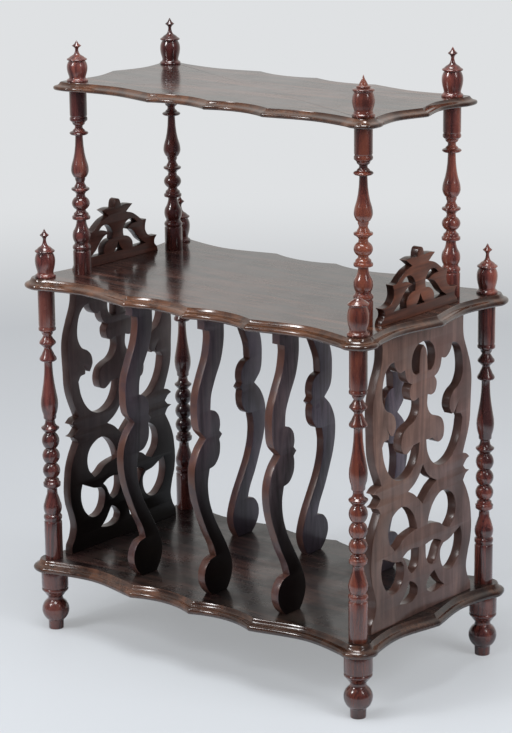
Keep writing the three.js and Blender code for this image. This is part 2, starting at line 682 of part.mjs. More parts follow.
for (const [sideName, side] of Object.entries(sides)) {
  for (const [endName, end] of Object.entries(ends)) {
    const corner = `${endName}_${sideName}`;
    const lowerPlace = [side * lowerColumnX, end * lowerColumnY];
    const upperPlace = [side * upperColumnX, end * upperColumnY];
    const dowelPlace = [side * galleryX, end * galleryDowelPitch / 2 - galleryForward];
    const middleForm = oddMiddleFinials[corner] ?? [finialShares, middleFinialHeight];
    const topForm = oddTopFinials[corner] ?? [finialShares, topFinialHeight];
    const middleFinial = finial(...middleForm, middleShelfThickness);
    const topFinial = finial(...topForm, topShelfThickness);
    const dowel = uprightCylinder(galleryDowelRadius, 2 * galleryDowelReach, 0, 0, 0);
    etagere.add(
      placed(piece(`foot_${corner}`, foot(), 'turned'), ...lowerPlace, 0),
      placed(piece(`lower_column_${corner}`, lowerColumn(), 'turned'), ...lowerPlace, bottomShelfTop),
      placed(piece(`middle_finial_${corner}`, middleFinial, 'turned'), ...lowerPlace, middleShelfTop),
      placed(piece(`upper_column_${corner}`, upperColumn(), 'turned'), ...upperPlace, middleShelfTop),
      placed(piece(`top_finial_${corner}`, topFinial, 'turned'), ...upperPlace, topShelfTop),
      placed(piece(`gallery_dowel_${corner}`, dowel, 'dowel'), ...dowelPlace, middleShelfTop),
    );
  }
  etagere.add(
    placed(piece(`side_panel_${sideName}`, sidePanel(), 'fretted'),
      side * sidePanelX, -rackForward, bottomShelfTop),
    placed(piece(`gallery_${sideName}`, gallery(), 'fretted'),
      side * galleryX, -galleryForward, middleShelfTop),
  );
}

for (const [dividerName, divider] of Object.entries(dividers)) {
  for (const [endName, end] of Object.entries(ends)) {
    etagere.add(placed(piece(`scroll_${dividerName}_${endName}`, scrollSlat(end), 'fretted'),
      dividerX(divider), -rackForward, bottomShelfTop));
  }
}

export default etagere;
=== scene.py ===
"""An etagere in polished rosewood: moulded boards, turned supports, fretted sides and scroll dividers."""

import math

import bmesh
import bpy
from mathutils import Matrix, Vector


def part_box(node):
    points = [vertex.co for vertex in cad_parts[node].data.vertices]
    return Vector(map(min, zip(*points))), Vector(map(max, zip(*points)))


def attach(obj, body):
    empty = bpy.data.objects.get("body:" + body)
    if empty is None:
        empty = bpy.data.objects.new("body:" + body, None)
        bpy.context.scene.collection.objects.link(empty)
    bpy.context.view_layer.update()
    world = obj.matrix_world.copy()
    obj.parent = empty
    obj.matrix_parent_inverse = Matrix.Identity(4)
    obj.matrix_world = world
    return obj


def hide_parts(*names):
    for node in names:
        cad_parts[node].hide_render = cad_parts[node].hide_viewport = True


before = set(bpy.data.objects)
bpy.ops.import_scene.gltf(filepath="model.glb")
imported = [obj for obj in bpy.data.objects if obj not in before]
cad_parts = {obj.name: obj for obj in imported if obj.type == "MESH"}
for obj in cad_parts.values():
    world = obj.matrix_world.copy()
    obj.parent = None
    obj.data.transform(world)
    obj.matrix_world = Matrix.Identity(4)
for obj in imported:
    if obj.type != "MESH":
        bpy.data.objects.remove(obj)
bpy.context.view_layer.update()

MM = 0.001

# The view: a long lens that looks down a little at the front and the right side.
VIEW_AZIMUTH = 39.23
VIEW_ELEVATION = 15.11
VIEW_ROLL = -0.58
VIEW_DISTANCE = 4.321
VIEW_AIM = Vector((0, 0, 0.503))
VIEW_OFFSET = Vector((-0.0119, -0.0288))
FOCAL_LENGTH = 130.9
SENSOR = 36

# Places that the frame gives: the shelves' levels and thicknesses, and the columns' axes.
SHELF_NAMES = ("bottom_shelf", "middle_shelf", "top_shelf")
SHELF_TOPS = {name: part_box(name)[1].z for name in SHELF_NAMES}
SHELF_THICKNESSES = {name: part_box(name)[1].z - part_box(name)[0].z for name in SHELF_NAMES}
FOOT_HEIGHT = SHELF_TOPS["bottom_shelf"] - SHELF_THICKNESSES["bottom_shelf"]
LOWER_HEIGHT = SHELF_TOPS["middle_shelf"] - SHELF_THICKNESSES["middle_shelf"] - SHELF_TOPS["bottom_shelf"]
UPPER_HEIGHT = SHELF_TOPS["top_shelf"] - SHELF_THICKNESSES["top_shelf"] - SHELF_TOPS["middle_shelf"]


def middle_of(node):
    low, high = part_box(node)
    return (low + high) / 2


# Turned work. A sharp corner's ease takes at most one part in three of the edges beside it.
COLUMN_RADIUS = 15 * MM
FOOT_RADIUS = 22.5 * MM
FINIAL_RADIUS = 17.3 * MM
FINIAL_HEIGHTS = {"middle": 80 * MM, "top": 77 * MM}
SHORT_FINIAL_HEIGHT = 66 * MM
SPIKE_FINIAL_HEIGHT = 63 * MM
BROKEN_FINIAL_HEIGHT = 57 * MM
TURNED_SIDES = 56
SWELL_STEPS = 12
SWELL_FULLNESS = 0.7
CORNER_EASE = 0.45 * MM
EASE_PARTS = 3
EASE_PULL = 0.32
SHARP_TURN = math.radians(20)

# Meshes: how corners are joined, and which faces and edges count as flat or sharp.
WELD_REACH = 0.02 * MM
SQUARE_LIMIT = 0.999
CREASE_ANGLE = math.radians(38)

# Flat work.
PANEL_HALF_LENGTH = 135 * MM
PANEL_THICKNESS = 16 * MM
PANEL_FRET_LIFT = 5 * MM
GALLERY_HALF_LENGTH = 100 * MM
GALLERY_HEIGHT = 106 * MM
GALLERY_THICKNESS = 14 * MM
RACK_FORWARD = 5 * MM
GALLERY_FORWARD = 8 * MM
SLAT_DEPTH = 94 * MM
SLAT_REACH = 183 * MM
SLAT_THICKNESS = 15 * MM
SAWN_STEP = 2.5 * MM
ARRIS = 0.9 * MM
ARRIS_STEPS = 2

# Curves: a knot's spacing is a power of its chord. An inset corner moves at most twice the inset.
KNOT_POWER = 0.5
LEAST_CHORD = 1e-9
STEEPEST_MITRE = 0.5

# Turned outlines from the bottom up: radius, height and the swell of the stretch that follows.
FOOT_SHARES = [
    [0.55, 0], [0.57, 0.13], [0.62, 0.153, 0.38], [0.66, 0.48], [0.58, 0.5], [0.56, 0.54], [0.62, 0.56],
    [0.72, 0.586], [0.8, 0.61], [0.86, 0.63], [0.97, 0.652, 0.03], [0.97, 0.688], [0.94, 0.698],
    [0.94, 0.708], [1, 0.713], [1, 1],
]
LOWER_COLUMN_SHARES = [
    [1, 0], [1, 0.137], [0.93, 0.14], [0.93, 0.145], [0.98, 0.147, 0.05], [0.98, 0.162], [0.84, 0.166],
    [0.85, 0.168, 0.14], [0.91, 0.208, 0.02], [0.6, 0.24], [0.56, 0.26], [0.74, 0.266], [0.95, 0.271],
    [0.97, 0.284], [0.82, 0.288], [0.8, 0.296], [0.55, 0.302, 0.43], [0.54, 0.355, 0.43],
    [0.55, 0.41, 0.42], [0.56, 0.468], [0.7, 0.4735], [0.85, 0.479], [1, 0.4845], [1, 0.489],
    [0.72, 0.495], [0.6, 0.501], [0.54, 0.51], [0.55, 0.517], [0.7, 0.522], [0.72, 0.535], [0.86, 0.549],
    [0.93, 0.562], [0.96, 0.576], [0.93, 0.592], [0.83, 0.61], [0.72, 0.631], [0.6, 0.655], [0.5, 0.685],
    [0.46, 0.71], [0.46, 0.729], [0.86, 0.7335], [0.95, 0.737], [0.95, 0.742], [0.86, 0.748],
    [0.72, 0.7545], [0.63, 0.762], [0.5, 0.77], [0.42, 0.777], [0.43, 0.781], [0.62, 0.787],
    [0.8, 0.7925], [0.93, 0.797], [0.9, 0.803], [0.75, 0.809], [0.6, 0.816], [0.46, 0.824], [0.6, 0.831],
    [0.66, 0.837], [0.78, 0.841], [0.95, 0.8445], [0.97, 0.852], [0.9, 0.856], [0.9, 0.86], [0.93, 0.864],
    [0.93, 1],
]
UPPER_COLUMN_SHARES = [
    [1, 0], [1, 0.125], [0.93, 0.128], [0.93, 0.133], [0.97, 0.135, 0.06], [0.97, 0.154], [0.8, 0.164],
    [0.8, 0.173, 0.2], [0.8, 0.243], [0.66, 0.257], [0.55, 0.277], [0.52, 0.297], [0.97, 0.3], [1, 0.309],
    [0.97, 0.316], [0.83, 0.319], [0.8, 0.331], [0.58, 0.34], [0.52, 0.348], [0.54, 0.352, 0.44],
    [0.54, 0.42], [0.5, 0.428], [0.47, 0.436], [0.6, 0.445], [0.74, 0.451], [0.97, 0.458], [1, 0.464],
    [0.96, 0.469], [0.68, 0.472], [0.64, 0.481], [0.5, 0.491], [0.46, 0.502], [0.56, 0.514],
    [0.58, 0.526], [0.72, 0.53], [0.74, 0.533, 0.06], [0.96, 0.566, 0.03], [0.83, 0.604], [0.68, 0.629],
    [0.56, 0.658], [0.46, 0.698], [0.42, 0.738], [0.41, 0.754], [0.9, 0.758], [1.02, 0.764],
    [1.02, 0.767], [0.93, 0.772], [0.68, 0.777], [0.64, 0.783], [0.45, 0.791], [0.42, 0.799],
    [0.44, 0.805], [0.66, 0.814], [0.69, 0.821], [0.8, 0.828], [0.95, 0.834], [0.97, 0.842],
    [0.95, 0.849], [0.89, 0.853], [0.89, 0.857], [0.94, 0.862], [0.94, 1],
]
FINIAL_SHARES = [
    [0.98, 0], [1, 0.012], [0.995, 0.035], [0.95, 0.05], [0.86, 0.06], [0.8, 0.075], [0.77, 0.095],
    [0.78, 0.115], [0.82, 0.15], [0.885, 0.2], [0.94, 0.26], [0.97, 0.33], [0.96, 0.38], [0.93, 0.42],
    [0.86, 0.465], [0.78, 0.498], [0.77, 0.51], [0.92, 0.525], [0.96, 0.54], [0.92, 0.557], [0.8, 0.572],
    [0.7, 0.59], [0.62, 0.61], [0.48, 0.63], [0.35, 0.65], [0.26, 0.675], [0.2, 0.71], [0.155, 0.755],
    [0.15, 0.79], [0.22, 0.825], [0.43, 0.866], [0.44, 0.874], [0.22, 0.915], [0.14, 0.945], [0.08, 0.975],
]
SPIKE_FINIAL_SHARES = [
    [0.99, 0], [1.02, 0.03], [1.02, 0.06], [0.94, 0.083], [0.85, 0.092], [0.86, 0.118], [0.81, 0.14],
    [0.82, 0.17], [0.88, 0.22], [0.94, 0.28], [0.985, 0.35], [0.99, 0.41], [0.95, 0.49], [0.87, 0.56],
    [0.82, 0.595], [0.95, 0.625], [0.98, 0.645], [0.95, 0.665], [0.7, 0.68], [0.6, 0.69], [0.64, 0.71],
    [0.64, 0.728], [0.56, 0.742], [0.42, 0.75], [0.36, 0.79], [0.25, 0.845], [0.14, 0.895], [0.08, 0.935],
    [0.05, 0.97],
]
BROKEN_FINIAL_SHARES = [
    [0.98, 0], [1, 0.017], [0.995, 0.05], [0.95, 0.07], [0.86, 0.085], [0.8, 0.105], [0.77, 0.135],
    [0.78, 0.165], [0.82, 0.215], [0.885, 0.285], [0.94, 0.37], [0.97, 0.48], [0.96, 0.56], [0.93, 0.63],
    [0.86, 0.71], [0.78, 0.77], [0.77, 0.79], [0.92, 0.815], [0.96, 0.84],
    [0.9, 0.865], [0.76, 0.89], [0.62, 0.93], [0.4, 0.965], [0.3, 1],
]
# Fretted outlines: smooth stretches that meet at corners, in shares of the half length and the height.
PANEL_HALF_SHARES = [
    [[0.79, 1], [0.8, 0.92], [0.885, 0.857], [0.945, 0.81], [0.97, 0.765], [0.96, 0.69], [0.935, 0.6]],
    [[0.805, 0.503], [0.88, 0.498]],
    [[0.945, 0.483], [0.88, 0.476]],
    [[0.82, 0.458], [0.88, 0.441]],
    [[0.945, 0.435], [0.87, 0.427]],
    [[0.82, 0.407], [0.91, 0.36], [0.965, 0.318], [0.99, 0.273], [1, 0.228], [0.98, 0.183], [0.93, 0.138],
      [0.9, 0.093], [0.94, 0.05], [0.985, 0.03]],
    [[1, 0]],
]
PANEL_SCROLL_SHARES = [
    [[0.57, 0.897], [0.65, 0.891], [0.735, 0.867], [0.785, 0.82], [0.78, 0.777], [0.715, 0.743],
      [0.61, 0.726], [0.548, 0.707], [0.526, 0.675]],
    [[0.578, 0.647], [0.63, 0.652]],
    [[0.689, 0.675], [0.66, 0.655]],
    [[0.667, 0.642], [0.75, 0.638]],
    [[0.79, 0.621], [0.755, 0.574], [0.681, 0.531], [0.57, 0.499], [0.422, 0.484], [0.281, 0.49],
      [0.163, 0.514], [0.089, 0.552]],
    [[0.067, 0.591]],
    [[0.185, 0.589], [0.244, 0.576], [0.319, 0.567], [0.393, 0.576], [0.422, 0.6], [0.415, 0.623],
      [0.37, 0.647], [0.289, 0.66], [0.185, 0.67], [0.119, 0.687], [0.081, 0.713]],
    [[0.089, 0.747], [0.17, 0.741], [0.23, 0.747], [0.262, 0.766], [0.262, 0.785]],
    [[0.222, 0.801], [0.281, 0.809], [0.333, 0.827]],
    [[0.363, 0.857], [0.437, 0.852], [0.5, 0.861], [0.546, 0.877]],
]
PANEL_ARCH_HALF_SHARES = [
    [[0, 0.934], [0.111, 0.928], [0.193, 0.908], [0.23, 0.876], [0.207, 0.844], [0.148, 0.829]],
    [[0.081, 0.831], [0.074, 0.869], [0.052, 0.905], [0, 0.922]],
]
PANEL_DIAMOND_HALF_SHARES = [
    [[0, 0.51], [0.067, 0.478], [0.156, 0.454]],
    [[0.281, 0.435], [0.17, 0.418], [0.081, 0.396], [0, 0.373]],
]
PANEL_RING_SHARES = [
    [[0.104, 0.293], [0.126, 0.317], [0.193, 0.353], [0.289, 0.379], [0.4, 0.39], [0.519, 0.381],
     [0.622, 0.358], [0.667, 0.323], [0.644, 0.283]],
    [[0.541, 0.248], [0.444, 0.259], [0.356, 0.278], [0.252, 0.287]],
]
PANEL_BELL_SHARES = [
    [[0.77, 0.236], [0.8, 0.203], [0.785, 0.163], [0.719, 0.126], [0.607, 0.101], [0.504, 0.101],
     [0.407, 0.122], [0.363, 0.156], [0.37, 0.184]],
    [[0.422, 0.201], [0.556, 0.208], [0.667, 0.223]],
]
PANEL_LEAF_SHARES = [
    [[0.067, 0.223], [0.185, 0.229], [0.296, 0.225]],
    [[0.385, 0.212], [0.333, 0.197], [0.296, 0.176], [0.259, 0.156]],
    [[0.207, 0.143], [0.133, 0.152], [0.081, 0.176]],
]
PANEL_FOOT_SHARES = [
    [[0.104, 0.058], [0.089, 0.081], [0.156, 0.105]],
    [[0.244, 0.118], [0.296, 0.096], [0.348, 0.075]],
    [[0.444, 0.051], [0.296, 0.043], [0.185, 0.045]],
]
GALLERY_HALF_SHARES = [
    [[0, 1], [0.045, 0.985], [0.075, 0.93]],
    [[0.085, 0.865], [0.24, 0.88]],
    [[0.38, 0.86], [0.3, 0.81]],
    [[0.22, 0.755], [0.38, 0.709], [0.52, 0.627], [0.61, 0.564]],
    [[0.72, 0.555], [0.69, 0.473], [0.69, 0.382], [0.75, 0.3], [0.84, 0.264]],
    [[0.98, 0.255], [0.92, 0.191], [0.92, 0.127], [0.98, 0.064]],
    [[1, 0]],
]
GALLERY_EYE_SHARES = [
    [[0.14, 0.375], [0.13, 0.48], [0.19, 0.575], [0.29, 0.625], [0.39, 0.61]],
    [[0.47, 0.55], [0.33, 0.535]],
    [[0.2, 0.48], [0.34, 0.445], [0.45, 0.36], [0.55, 0.255]],
    [[0.69, 0.165]],
    [[0.36, 0.16], [0.36, 0.25], [0.3, 0.325], [0.22, 0.365]],
]
GALLERY_STEM_HALF_SHARES = [
    [[0, 0.31], [0.05, 0.215]],
    [[0.11, 0.155]],
]
SLAT_SHARES = [
    [[0.695, 1]],
    [[0.695, 0.947]],
    [[0.565, 0.938], [0.557, 0.916], [0.617, 0.852], [0.762, 0.788], [0.885, 0.728], [0.911, 0.67],
      [0.865, 0.606]],
    [[0.688, 0.567], [0.861, 0.531], [0.984, 0.478], [1, 0.424], [0.942, 0.36], [0.831, 0.3],
      [0.679, 0.231], [0.536, 0.178]],
    [[0.465, 0.137], [0.636, 0.128], [0.756, 0.099], [0.781, 0.064], [0.7, 0.026]],
    [[0.574, 0]],
    [[0.19, 0], [0.115, 0.021], [0.055, 0.049], [0.034, 0.081], [0.083, 0.12],
      [0.186, 0.167], [0.339, 0.221], [0.514, 0.285], [0.625, 0.349], [0.651, 0.407]],
    [[0.603, 0.456], [0.464, 0.463], [0.344, 0.493], [0.319, 0.531]],
    [[0.338, 0.55]],
    [[0.263, 0.565]],
    [[0.335, 0.58], [0.312, 0.6], [0.341, 0.632], [0.434, 0.653]],
    [[0.561, 0.662], [0.535, 0.713], [0.423, 0.767], [0.269, 0.827], [0.187, 0.895], [0.18, 0.959]],
    [[0.176, 1]],
]

# Shelf edges: ears round the columns, hollows between them, and small points along the front and back.
# Each reach runs out from the columns' axes, and each share runs from the shelf's middle to them.
LOWER_EDGE = {
    "column": middle_of("lower_column_back_right").xy,
    "ear_radius": 34 * MM,
    "ear_tip_radius": 35 * MM,
    "side_bump_reach": 35 * MM,
    "side_hollow_reach": 19 * MM,
    "side_hollow_share": 0.5,
    "point_reach": 33.5 * MM,
    "point_share": 0.39,
    "point_shift": 3 * MM,
    "outer_hollow_reach": 14 * MM,
    "outer_hollow_share": 0.7,
    "inner_hollow_reach": 19 * MM,
}
TOP_EDGE = {
    "column": middle_of("upper_column_back_right").xy,
    "ear_radius": 33 * MM,
    "ear_tip_radius": 39.5 * MM,
    "side_bump_reach": 38 * MM,
    "side_hollow_reach": 22 * MM,
    "side_hollow_share": 0.48,
    "point_reach": 35.5 * MM,
    "point_share": 0.4,
    "point_shift": 6 * MM,
    "outer_hollow_reach": 19.5 * MM,
    "outer_hollow_share": 0.694,
    "inner_hollow_reach": 21.5 * MM,
}
EAR_ANGLES = [125, 90, 45, 0, -35]
EAR_TIP = 45
EDGE_STEP = 2.5 * MM
SCALLOP_STEPS = 30

# The rim from the top's edge down: a fine step, a hollow slope and a rounded lip. The shares follow the
# board's overhang and its thickness.
RIM_OVERHANG = 12 * MM
RIM_LEVEL_BAND = 1.5 * MM
RIM_STEP_INSET = 0.3 * MM
RIM_STEP_DROP = 0.8 * MM
RIM_HOLLOW_INSET_SHARES = (0.93, 0.36)
RIM_HOLLOW_DROP_SHARES = (0.06, 0.44)
RIM_HOLLOW_SAG_SHARE = 0.06
RIM_LIP_SHARE = 0.27
RIM_LIP_ARC = (-80, 90)
RIM_CURVE_STEPS = 7

# The level faces' rings of corners, as shares of the way from the middle to the rim.
LEVEL_RING_SHARES = (0.3, 0.6, 0.85, 0.97)

# The Mix node's sockets for colours, by place.
MIX_SHARE, MIX_FIRST, MIX_SECOND, MIX_RESULT = 0, 6, 7, 2


class Wire:
    """An output of a shader node. Sums, differences and products of wires add Math nodes."""

    def __init__(self, finish, socket):
        self.finish = finish
        self.socket = socket

    def __add__(self, other):
        return self.finish.maths("ADD", self, other)

    __radd__ = __add__

    def __sub__(self, other):
        return self.finish.maths("SUBTRACT", self, other)

    def __rsub__(self, other):
        return self.finish.maths("SUBTRACT", other, self)

    def __mul__(self, other):
        return self.finish.maths("MULTIPLY", self, other)

    __rmul__ = __mul__


class Finish:
    """The node tree of a material or of the world, built one node at a time."""

    def __init__(self, owner):
        self.owner = owner
        owner.use_nodes = True
        self.tree = owner.node_tree
        self.tree.nodes.clear()

    def node(self, kind, settings=None, sockets=None, output=0):
        """Adds a node: its settings first, then its sockets' values or wires."""
        made = self.tree.nodes.new(kind)
        for name, value in (settings or {}).items():
            if name == "stops":
                self.set_stops(made.color_ramp, value)
            else:
                setattr(made, name, value)
        for name, value in (sockets or {}).items():
            if isinstance(value, Wire):
                self.tree.links.new(value.socket, made.inputs[name])
            else:
                made.inputs[name].default_value = value
        return Wire(self, made.outputs[output]) if made.outputs else made

    @staticmethod
    def set_stops(ramp, stops):
        """The first stop takes over the ramp's own first one."""
        while len(ramp.elements) > 1:
            ramp.elements.remove(ramp.elements[-1])
        ramp.elements[0].position = stops[0][0]
        ramp.elements[0].color = stops[0][1]
        for place, color in stops[1:]:
            ramp.elements.new(place).color = color

    def maths(self, operation, *values):
        return self.node("ShaderNodeMath", {"operation": operation}, dict(enumerate(values)))

    def blend(self, share, first, second, mode="MIX"):
        """Mixes two colours."""
        return self.node("ShaderNodeMix", {"data_type": "RGBA", "blend_type": mode},
                         {MIX_SHARE: share, MIX_FIRST: first, MIX_SECOND: second}, output=MIX_RESULT)

    def noise(self, place, scale, detail, roughness=0.5, distortion=0.0):
        return self.node("ShaderNodeTexNoise", {}, {
            "Vector": place, "Scale": scale, "Detail": detail,
            "Roughness": roughness, "Distortion": distortion})

    def along(self, vector, axis):
        """The signed size of a vector's part along an axis."""
        return self.node("ShaderNodeVectorMath", {"operation": "DOT_PRODUCT"},
                         {0: vector, 1: axis}, output="Value")

    def steps(self, value, low, high):
        """Nought below low and one above high, with an eased rise between them."""
        return self.node("ShaderNodeMapRange", {"interpolation_type": "SMOOTHSTEP"},
                         {"Value": value, "From Min": low, "From Max": high})

    def ramp(self, value, stops):
        return self.node("ShaderNodeValToRGB", {"stops": stops}, {"Fac": value})

    def surface(self, shader):
        self.node("ShaderNodeOutputMaterial", {}, {"Surface": shader})


def shade(red, green, blue):
    """A colour given in the 0 to 255 steps of a paint card, as the light it reflects."""
    def linear(level):
        share = level / 255
        return share / 12.92 if share <= 0.04045 else ((share + 0.055) / 1.055) ** 2.4
    return (linear(red), linear(green), linear(blue), 1.0)


# Along the grain the pattern is stretched. The three scales follow the piece's X, Y and Z.
GRAIN_ALONG = {
    "x": (1.3, 17.0, 17.0),
    "y": (17.0, 1.3, 17.0),
    "z": (15.0, 15.0, 1.5),
}
AXES = {"x": (1, 0, 0), "z": (0, 0, 1)}

# How far a piece's own luck can shift its pattern, so that no two pieces are alike.
LUCK_SHIFTS = {"X": 3.1, "Y": 5.7, "Z": 4.3}

# Each range runs from where a mask is nought to where it is full.
FIGURE_RANGE = (0.34, 0.68)
STREAK_RANGE = (0.5, 0.7)
PORE_RANGE = (0.62, 0.76)
CLOUD_RANGE = (0.38, 0.62)
RUB_RANGE = (0.52, 0.62)
HOLLOW_RANGE = (0.49, 0.425)
SPECK_RANGE = (0.52, 0.72)
DRIFT_RANGE = (0.44, 0.62)

# The wood's figure: how far its bands sway, where its middle tone lies, and how dark its pores are.
FIGURE_SWAY = 0.35
BODY_STOP = 0.45
PORE_DIRT = 0.3

# Dust: what its specks add to a thin film, and its colour and that of dirt. The dirt colour also paints shade
# in hollows and low in the rack.
SPECK_SHARE = 0.5
FILM_SHARE = 0.2
DUST = shade(112, 100, 88)
DIRT_AND_SHADE = shade(13, 8, 7)

# Polish: what pores, hollows and dust add to its roughness, and the relief under it.
PORE_DULLING = 0.12
HOLLOW_DULLING = 0.15
DUST_DULLING = 0.4
PORE_RELIEF = 0.6
THREAD_RELIEF = 0.4
RELIEF_HEIGHT = 0.3 * MM
POLISH_IOR = 1.5

# Painted light and shade by side: the tints run from the far side, painted cooler as shade, to the lit side,
# painted warmer. The turned work at the back left is painted darkest, as shade under the top shelf.
LIT_SIDE = (0.62, -0.78, 0)
LIT_SIDE_RANGE = (-0.25, 0.4)
LIT_SIDE_TINTS = [(0.0, (1.08, 1.12, 1.45, 1)), (1.0, (1.12, 1.08, 0.98, 1))]
TURNED_LIT_SIDE_TINTS = [(0.0, (0.55, 0.47, 0.61, 1)), (0.12, (1.4, 1.5, 1.95, 1)), (0.5, (1.4, 1.35, 1.6, 1)),
               (1.0, (1.16, 1.05, 0.95, 1))]

# A board's moulded rim: where it starts, its threads and patches, and the darker ends.
RIM_FACING_RANGE = (0.995, 0.93)
RIM_THREAD_RANGE = (0.45, 0.66)
RIM_PATCH_RANGE = (0.42, 0.6)
BOARD_END_RANGE = (0.35, 0.85)
RIM_SHARE = 0.9
RIM_THREAD_SHARE = 0.6
RIM_PATCH_SHARE = 0.55
BOARD_END_SHARE = 0.6
RIM_DUST_LOSS = 0.6
RIM_SMOOTHING = -0.1
RIM_COAT_GAIN = 0.2

# Turned work is painted darker near the floor, as shade low down.
FOOT_SHADE_RANGE = (0.2, 0.06)
FOOT_SHADE_SHARE = 0.4

# Fretwork: its sawn edges and their patches, its inner side painted darker as shade, and painted shade low
# down in the rack, which reaches less high at the back.
SAWN_EDGE_RANGE = (0.75, 0.35)
SAWN_PATCH_RANGE = (0.42, 0.62)
INNER_RANGE = (0.05, -0.05)
BACK_RANGE = (-0.04, 0.06)
LOW_SHADE_RANGE = (0.48, 0.2)
SAWN_EDGE_SHARE = 0.85
SAWN_PATCH_SHARE = 0.7
INNER_SHADE_SHARE = 0.45
FRETWORK_COAT = 0.6

# The gallery pins' bare wood.
BARE_STOPS = [(0.3, shade(120, 86, 54)), (0.7, shade(168, 132, 92))]
BARE_ROUGHNESS = 0.5
BARE_ROUGHNESS_SWING = 0.2


class Rosewood(Finish):
    """Polished rosewood, laid on from the figure of the wood to the polish."""

    def __init__(self, name, along, tones):
        super().__init__(bpy.data.materials.new(name))
        self.dark, self.body, self.light = (shade(*tone) for tone in tones)
        self.place = self.node("ShaderNodeTexCoord", output="Object")
        luck = self.node("ShaderNodeObjectInfo", output="Random")
        shift = self.node("ShaderNodeCombineXYZ", {}, {axis: luck * far for axis, far in LUCK_SHIFTS.items()})
        self.moved = self.node("ShaderNodeVectorMath", {"operation": "ADD"}, {0: self.place, 1: shift})
        self.grain = self.node("ShaderNodeMapping", {}, {"Vector": self.moved, "Scale": GRAIN_ALONG[along]})
        self.facing = self.node("ShaderNodeNewGeometry", output="Normal")
        self.pointed = self.node("ShaderNodeNewGeometry", output="Pointiness")

    def part_of(self, vector, axis):
        """The size of a vector's part along an axis, whichever way it runs."""
        return self.maths("ABSOLUTE", self.along(vector, AXES[axis]))

    def figured(self, streak, lit_side_tints=LIT_SIDE_TINTS):
        """Bands, dark streaks and pores along the grain, tinted by side with painted light and shade."""
        sway = self.noise(self.moved, scale=4.0, detail=2.0)
        bands = self.noise(self.grain, scale=2.6, detail=5.0, roughness=0.62, distortion=1.3)
        figure = self.steps(bands + (sway - 0.5) * FIGURE_SWAY, *FIGURE_RANGE)
        self.threads = self.noise(self.grain, scale=11.0, detail=4.0, roughness=0.7, distortion=0.4)
        self.pores = self.steps(self.noise(self.grain, scale=46.0, detail=2.0, roughness=0.6), *PORE_RANGE)
        warm = self.ramp(figure, [(0.0, self.dark), (BODY_STOP, self.body), (1.0, self.light)])
        streaked = self.blend(self.steps(self.threads, *STREAK_RANGE) * streak, warm, self.dark)
        # Painted light and shade: the tint follows where the piece stands, from the far side to the lit side.
        lit_side_tint = self.ramp(self.steps(self.along(self.place, LIT_SIDE), *LIT_SIDE_RANGE), lit_side_tints)
        return self.blend(self.pores * PORE_DIRT, self.blend(1.0, streaked, lit_side_tint, "MULTIPLY"), DIRT_AND_SHADE)

    def clouded(self, color, depth):
        """Lighter and darker clouds, up to depth either way."""
        clouds = self.noise(self.moved, scale=11.0, detail=5.0, roughness=0.6)
        shading = self.ramp(clouds, [(CLOUD_RANGE[0], (1 - depth, 1 - depth, 1 - depth, 1)),
                                     (CLOUD_RANGE[1], (1 + depth, 1 + depth, 1 + depth, 1))])
        return self.blend(1.0, color, shading, "MULTIPLY")

    def worn(self, color, rub, crevice_dirt_and_shade, where=1.0):
        """Rubbed arrises, and hollow corners darkened with dirt and painted shade."""
        rubbed = self.blend(self.steps(self.pointed, *RUB_RANGE) * rub * where, color, self.light)
        # Painted shade together with dirt: hollow corners are darkened.
        self.hollow = self.steps(self.pointed, *HOLLOW_RANGE) * where
        return self.blend(self.hollow * crevice_dirt_and_shade, rubbed, DIRT_AND_SHADE)

    def dusty(self, color, amount):
        """Specks of dust in loose drifts."""
        specks = self.steps(self.noise(self.moved, scale=110.0, detail=4.0, roughness=0.75), *SPECK_RANGE)
        drifts = self.steps(self.noise(self.moved, scale=9.0, detail=4.0, roughness=0.65), *DRIFT_RANGE)
        self.settled = (specks * SPECK_SHARE + FILM_SHARE) * drifts * amount
        return self.blend(self.settled, color, DUST)

    def polished(self, color, roughness, coat, relief, smear=0.2, shine=0.5, coat_haze=0.12):
        """The last layer: smudged polish over the open grain."""
        smudges = self.noise(self.moved, scale=16.0, detail=4.0, roughness=0.6)
        dulled = (smudges - 0.5) * smear + self.pores * PORE_DULLING + self.hollow * HOLLOW_DULLING
        polish = dulled + self.settled * DUST_DULLING + roughness
        height = (1 - self.pores) * PORE_RELIEF + self.threads * THREAD_RELIEF
        bump = self.node("ShaderNodeBump", {},
                         {"Strength": relief, "Distance": RELIEF_HEIGHT, "Height": height})
        self.surface(self.node("ShaderNodeBsdfPrincipled", {}, {
            "Base Color": color,
            "Roughness": polish,
            "IOR": POLISH_IOR,
            "Specular IOR Level": shine,
            "Coat Weight": (1 - self.settled) * coat,
            "Coat Roughness": coat_haze,
            "Coat IOR": POLISH_IOR,
            "Normal": bump,
        }))
        return self.owner


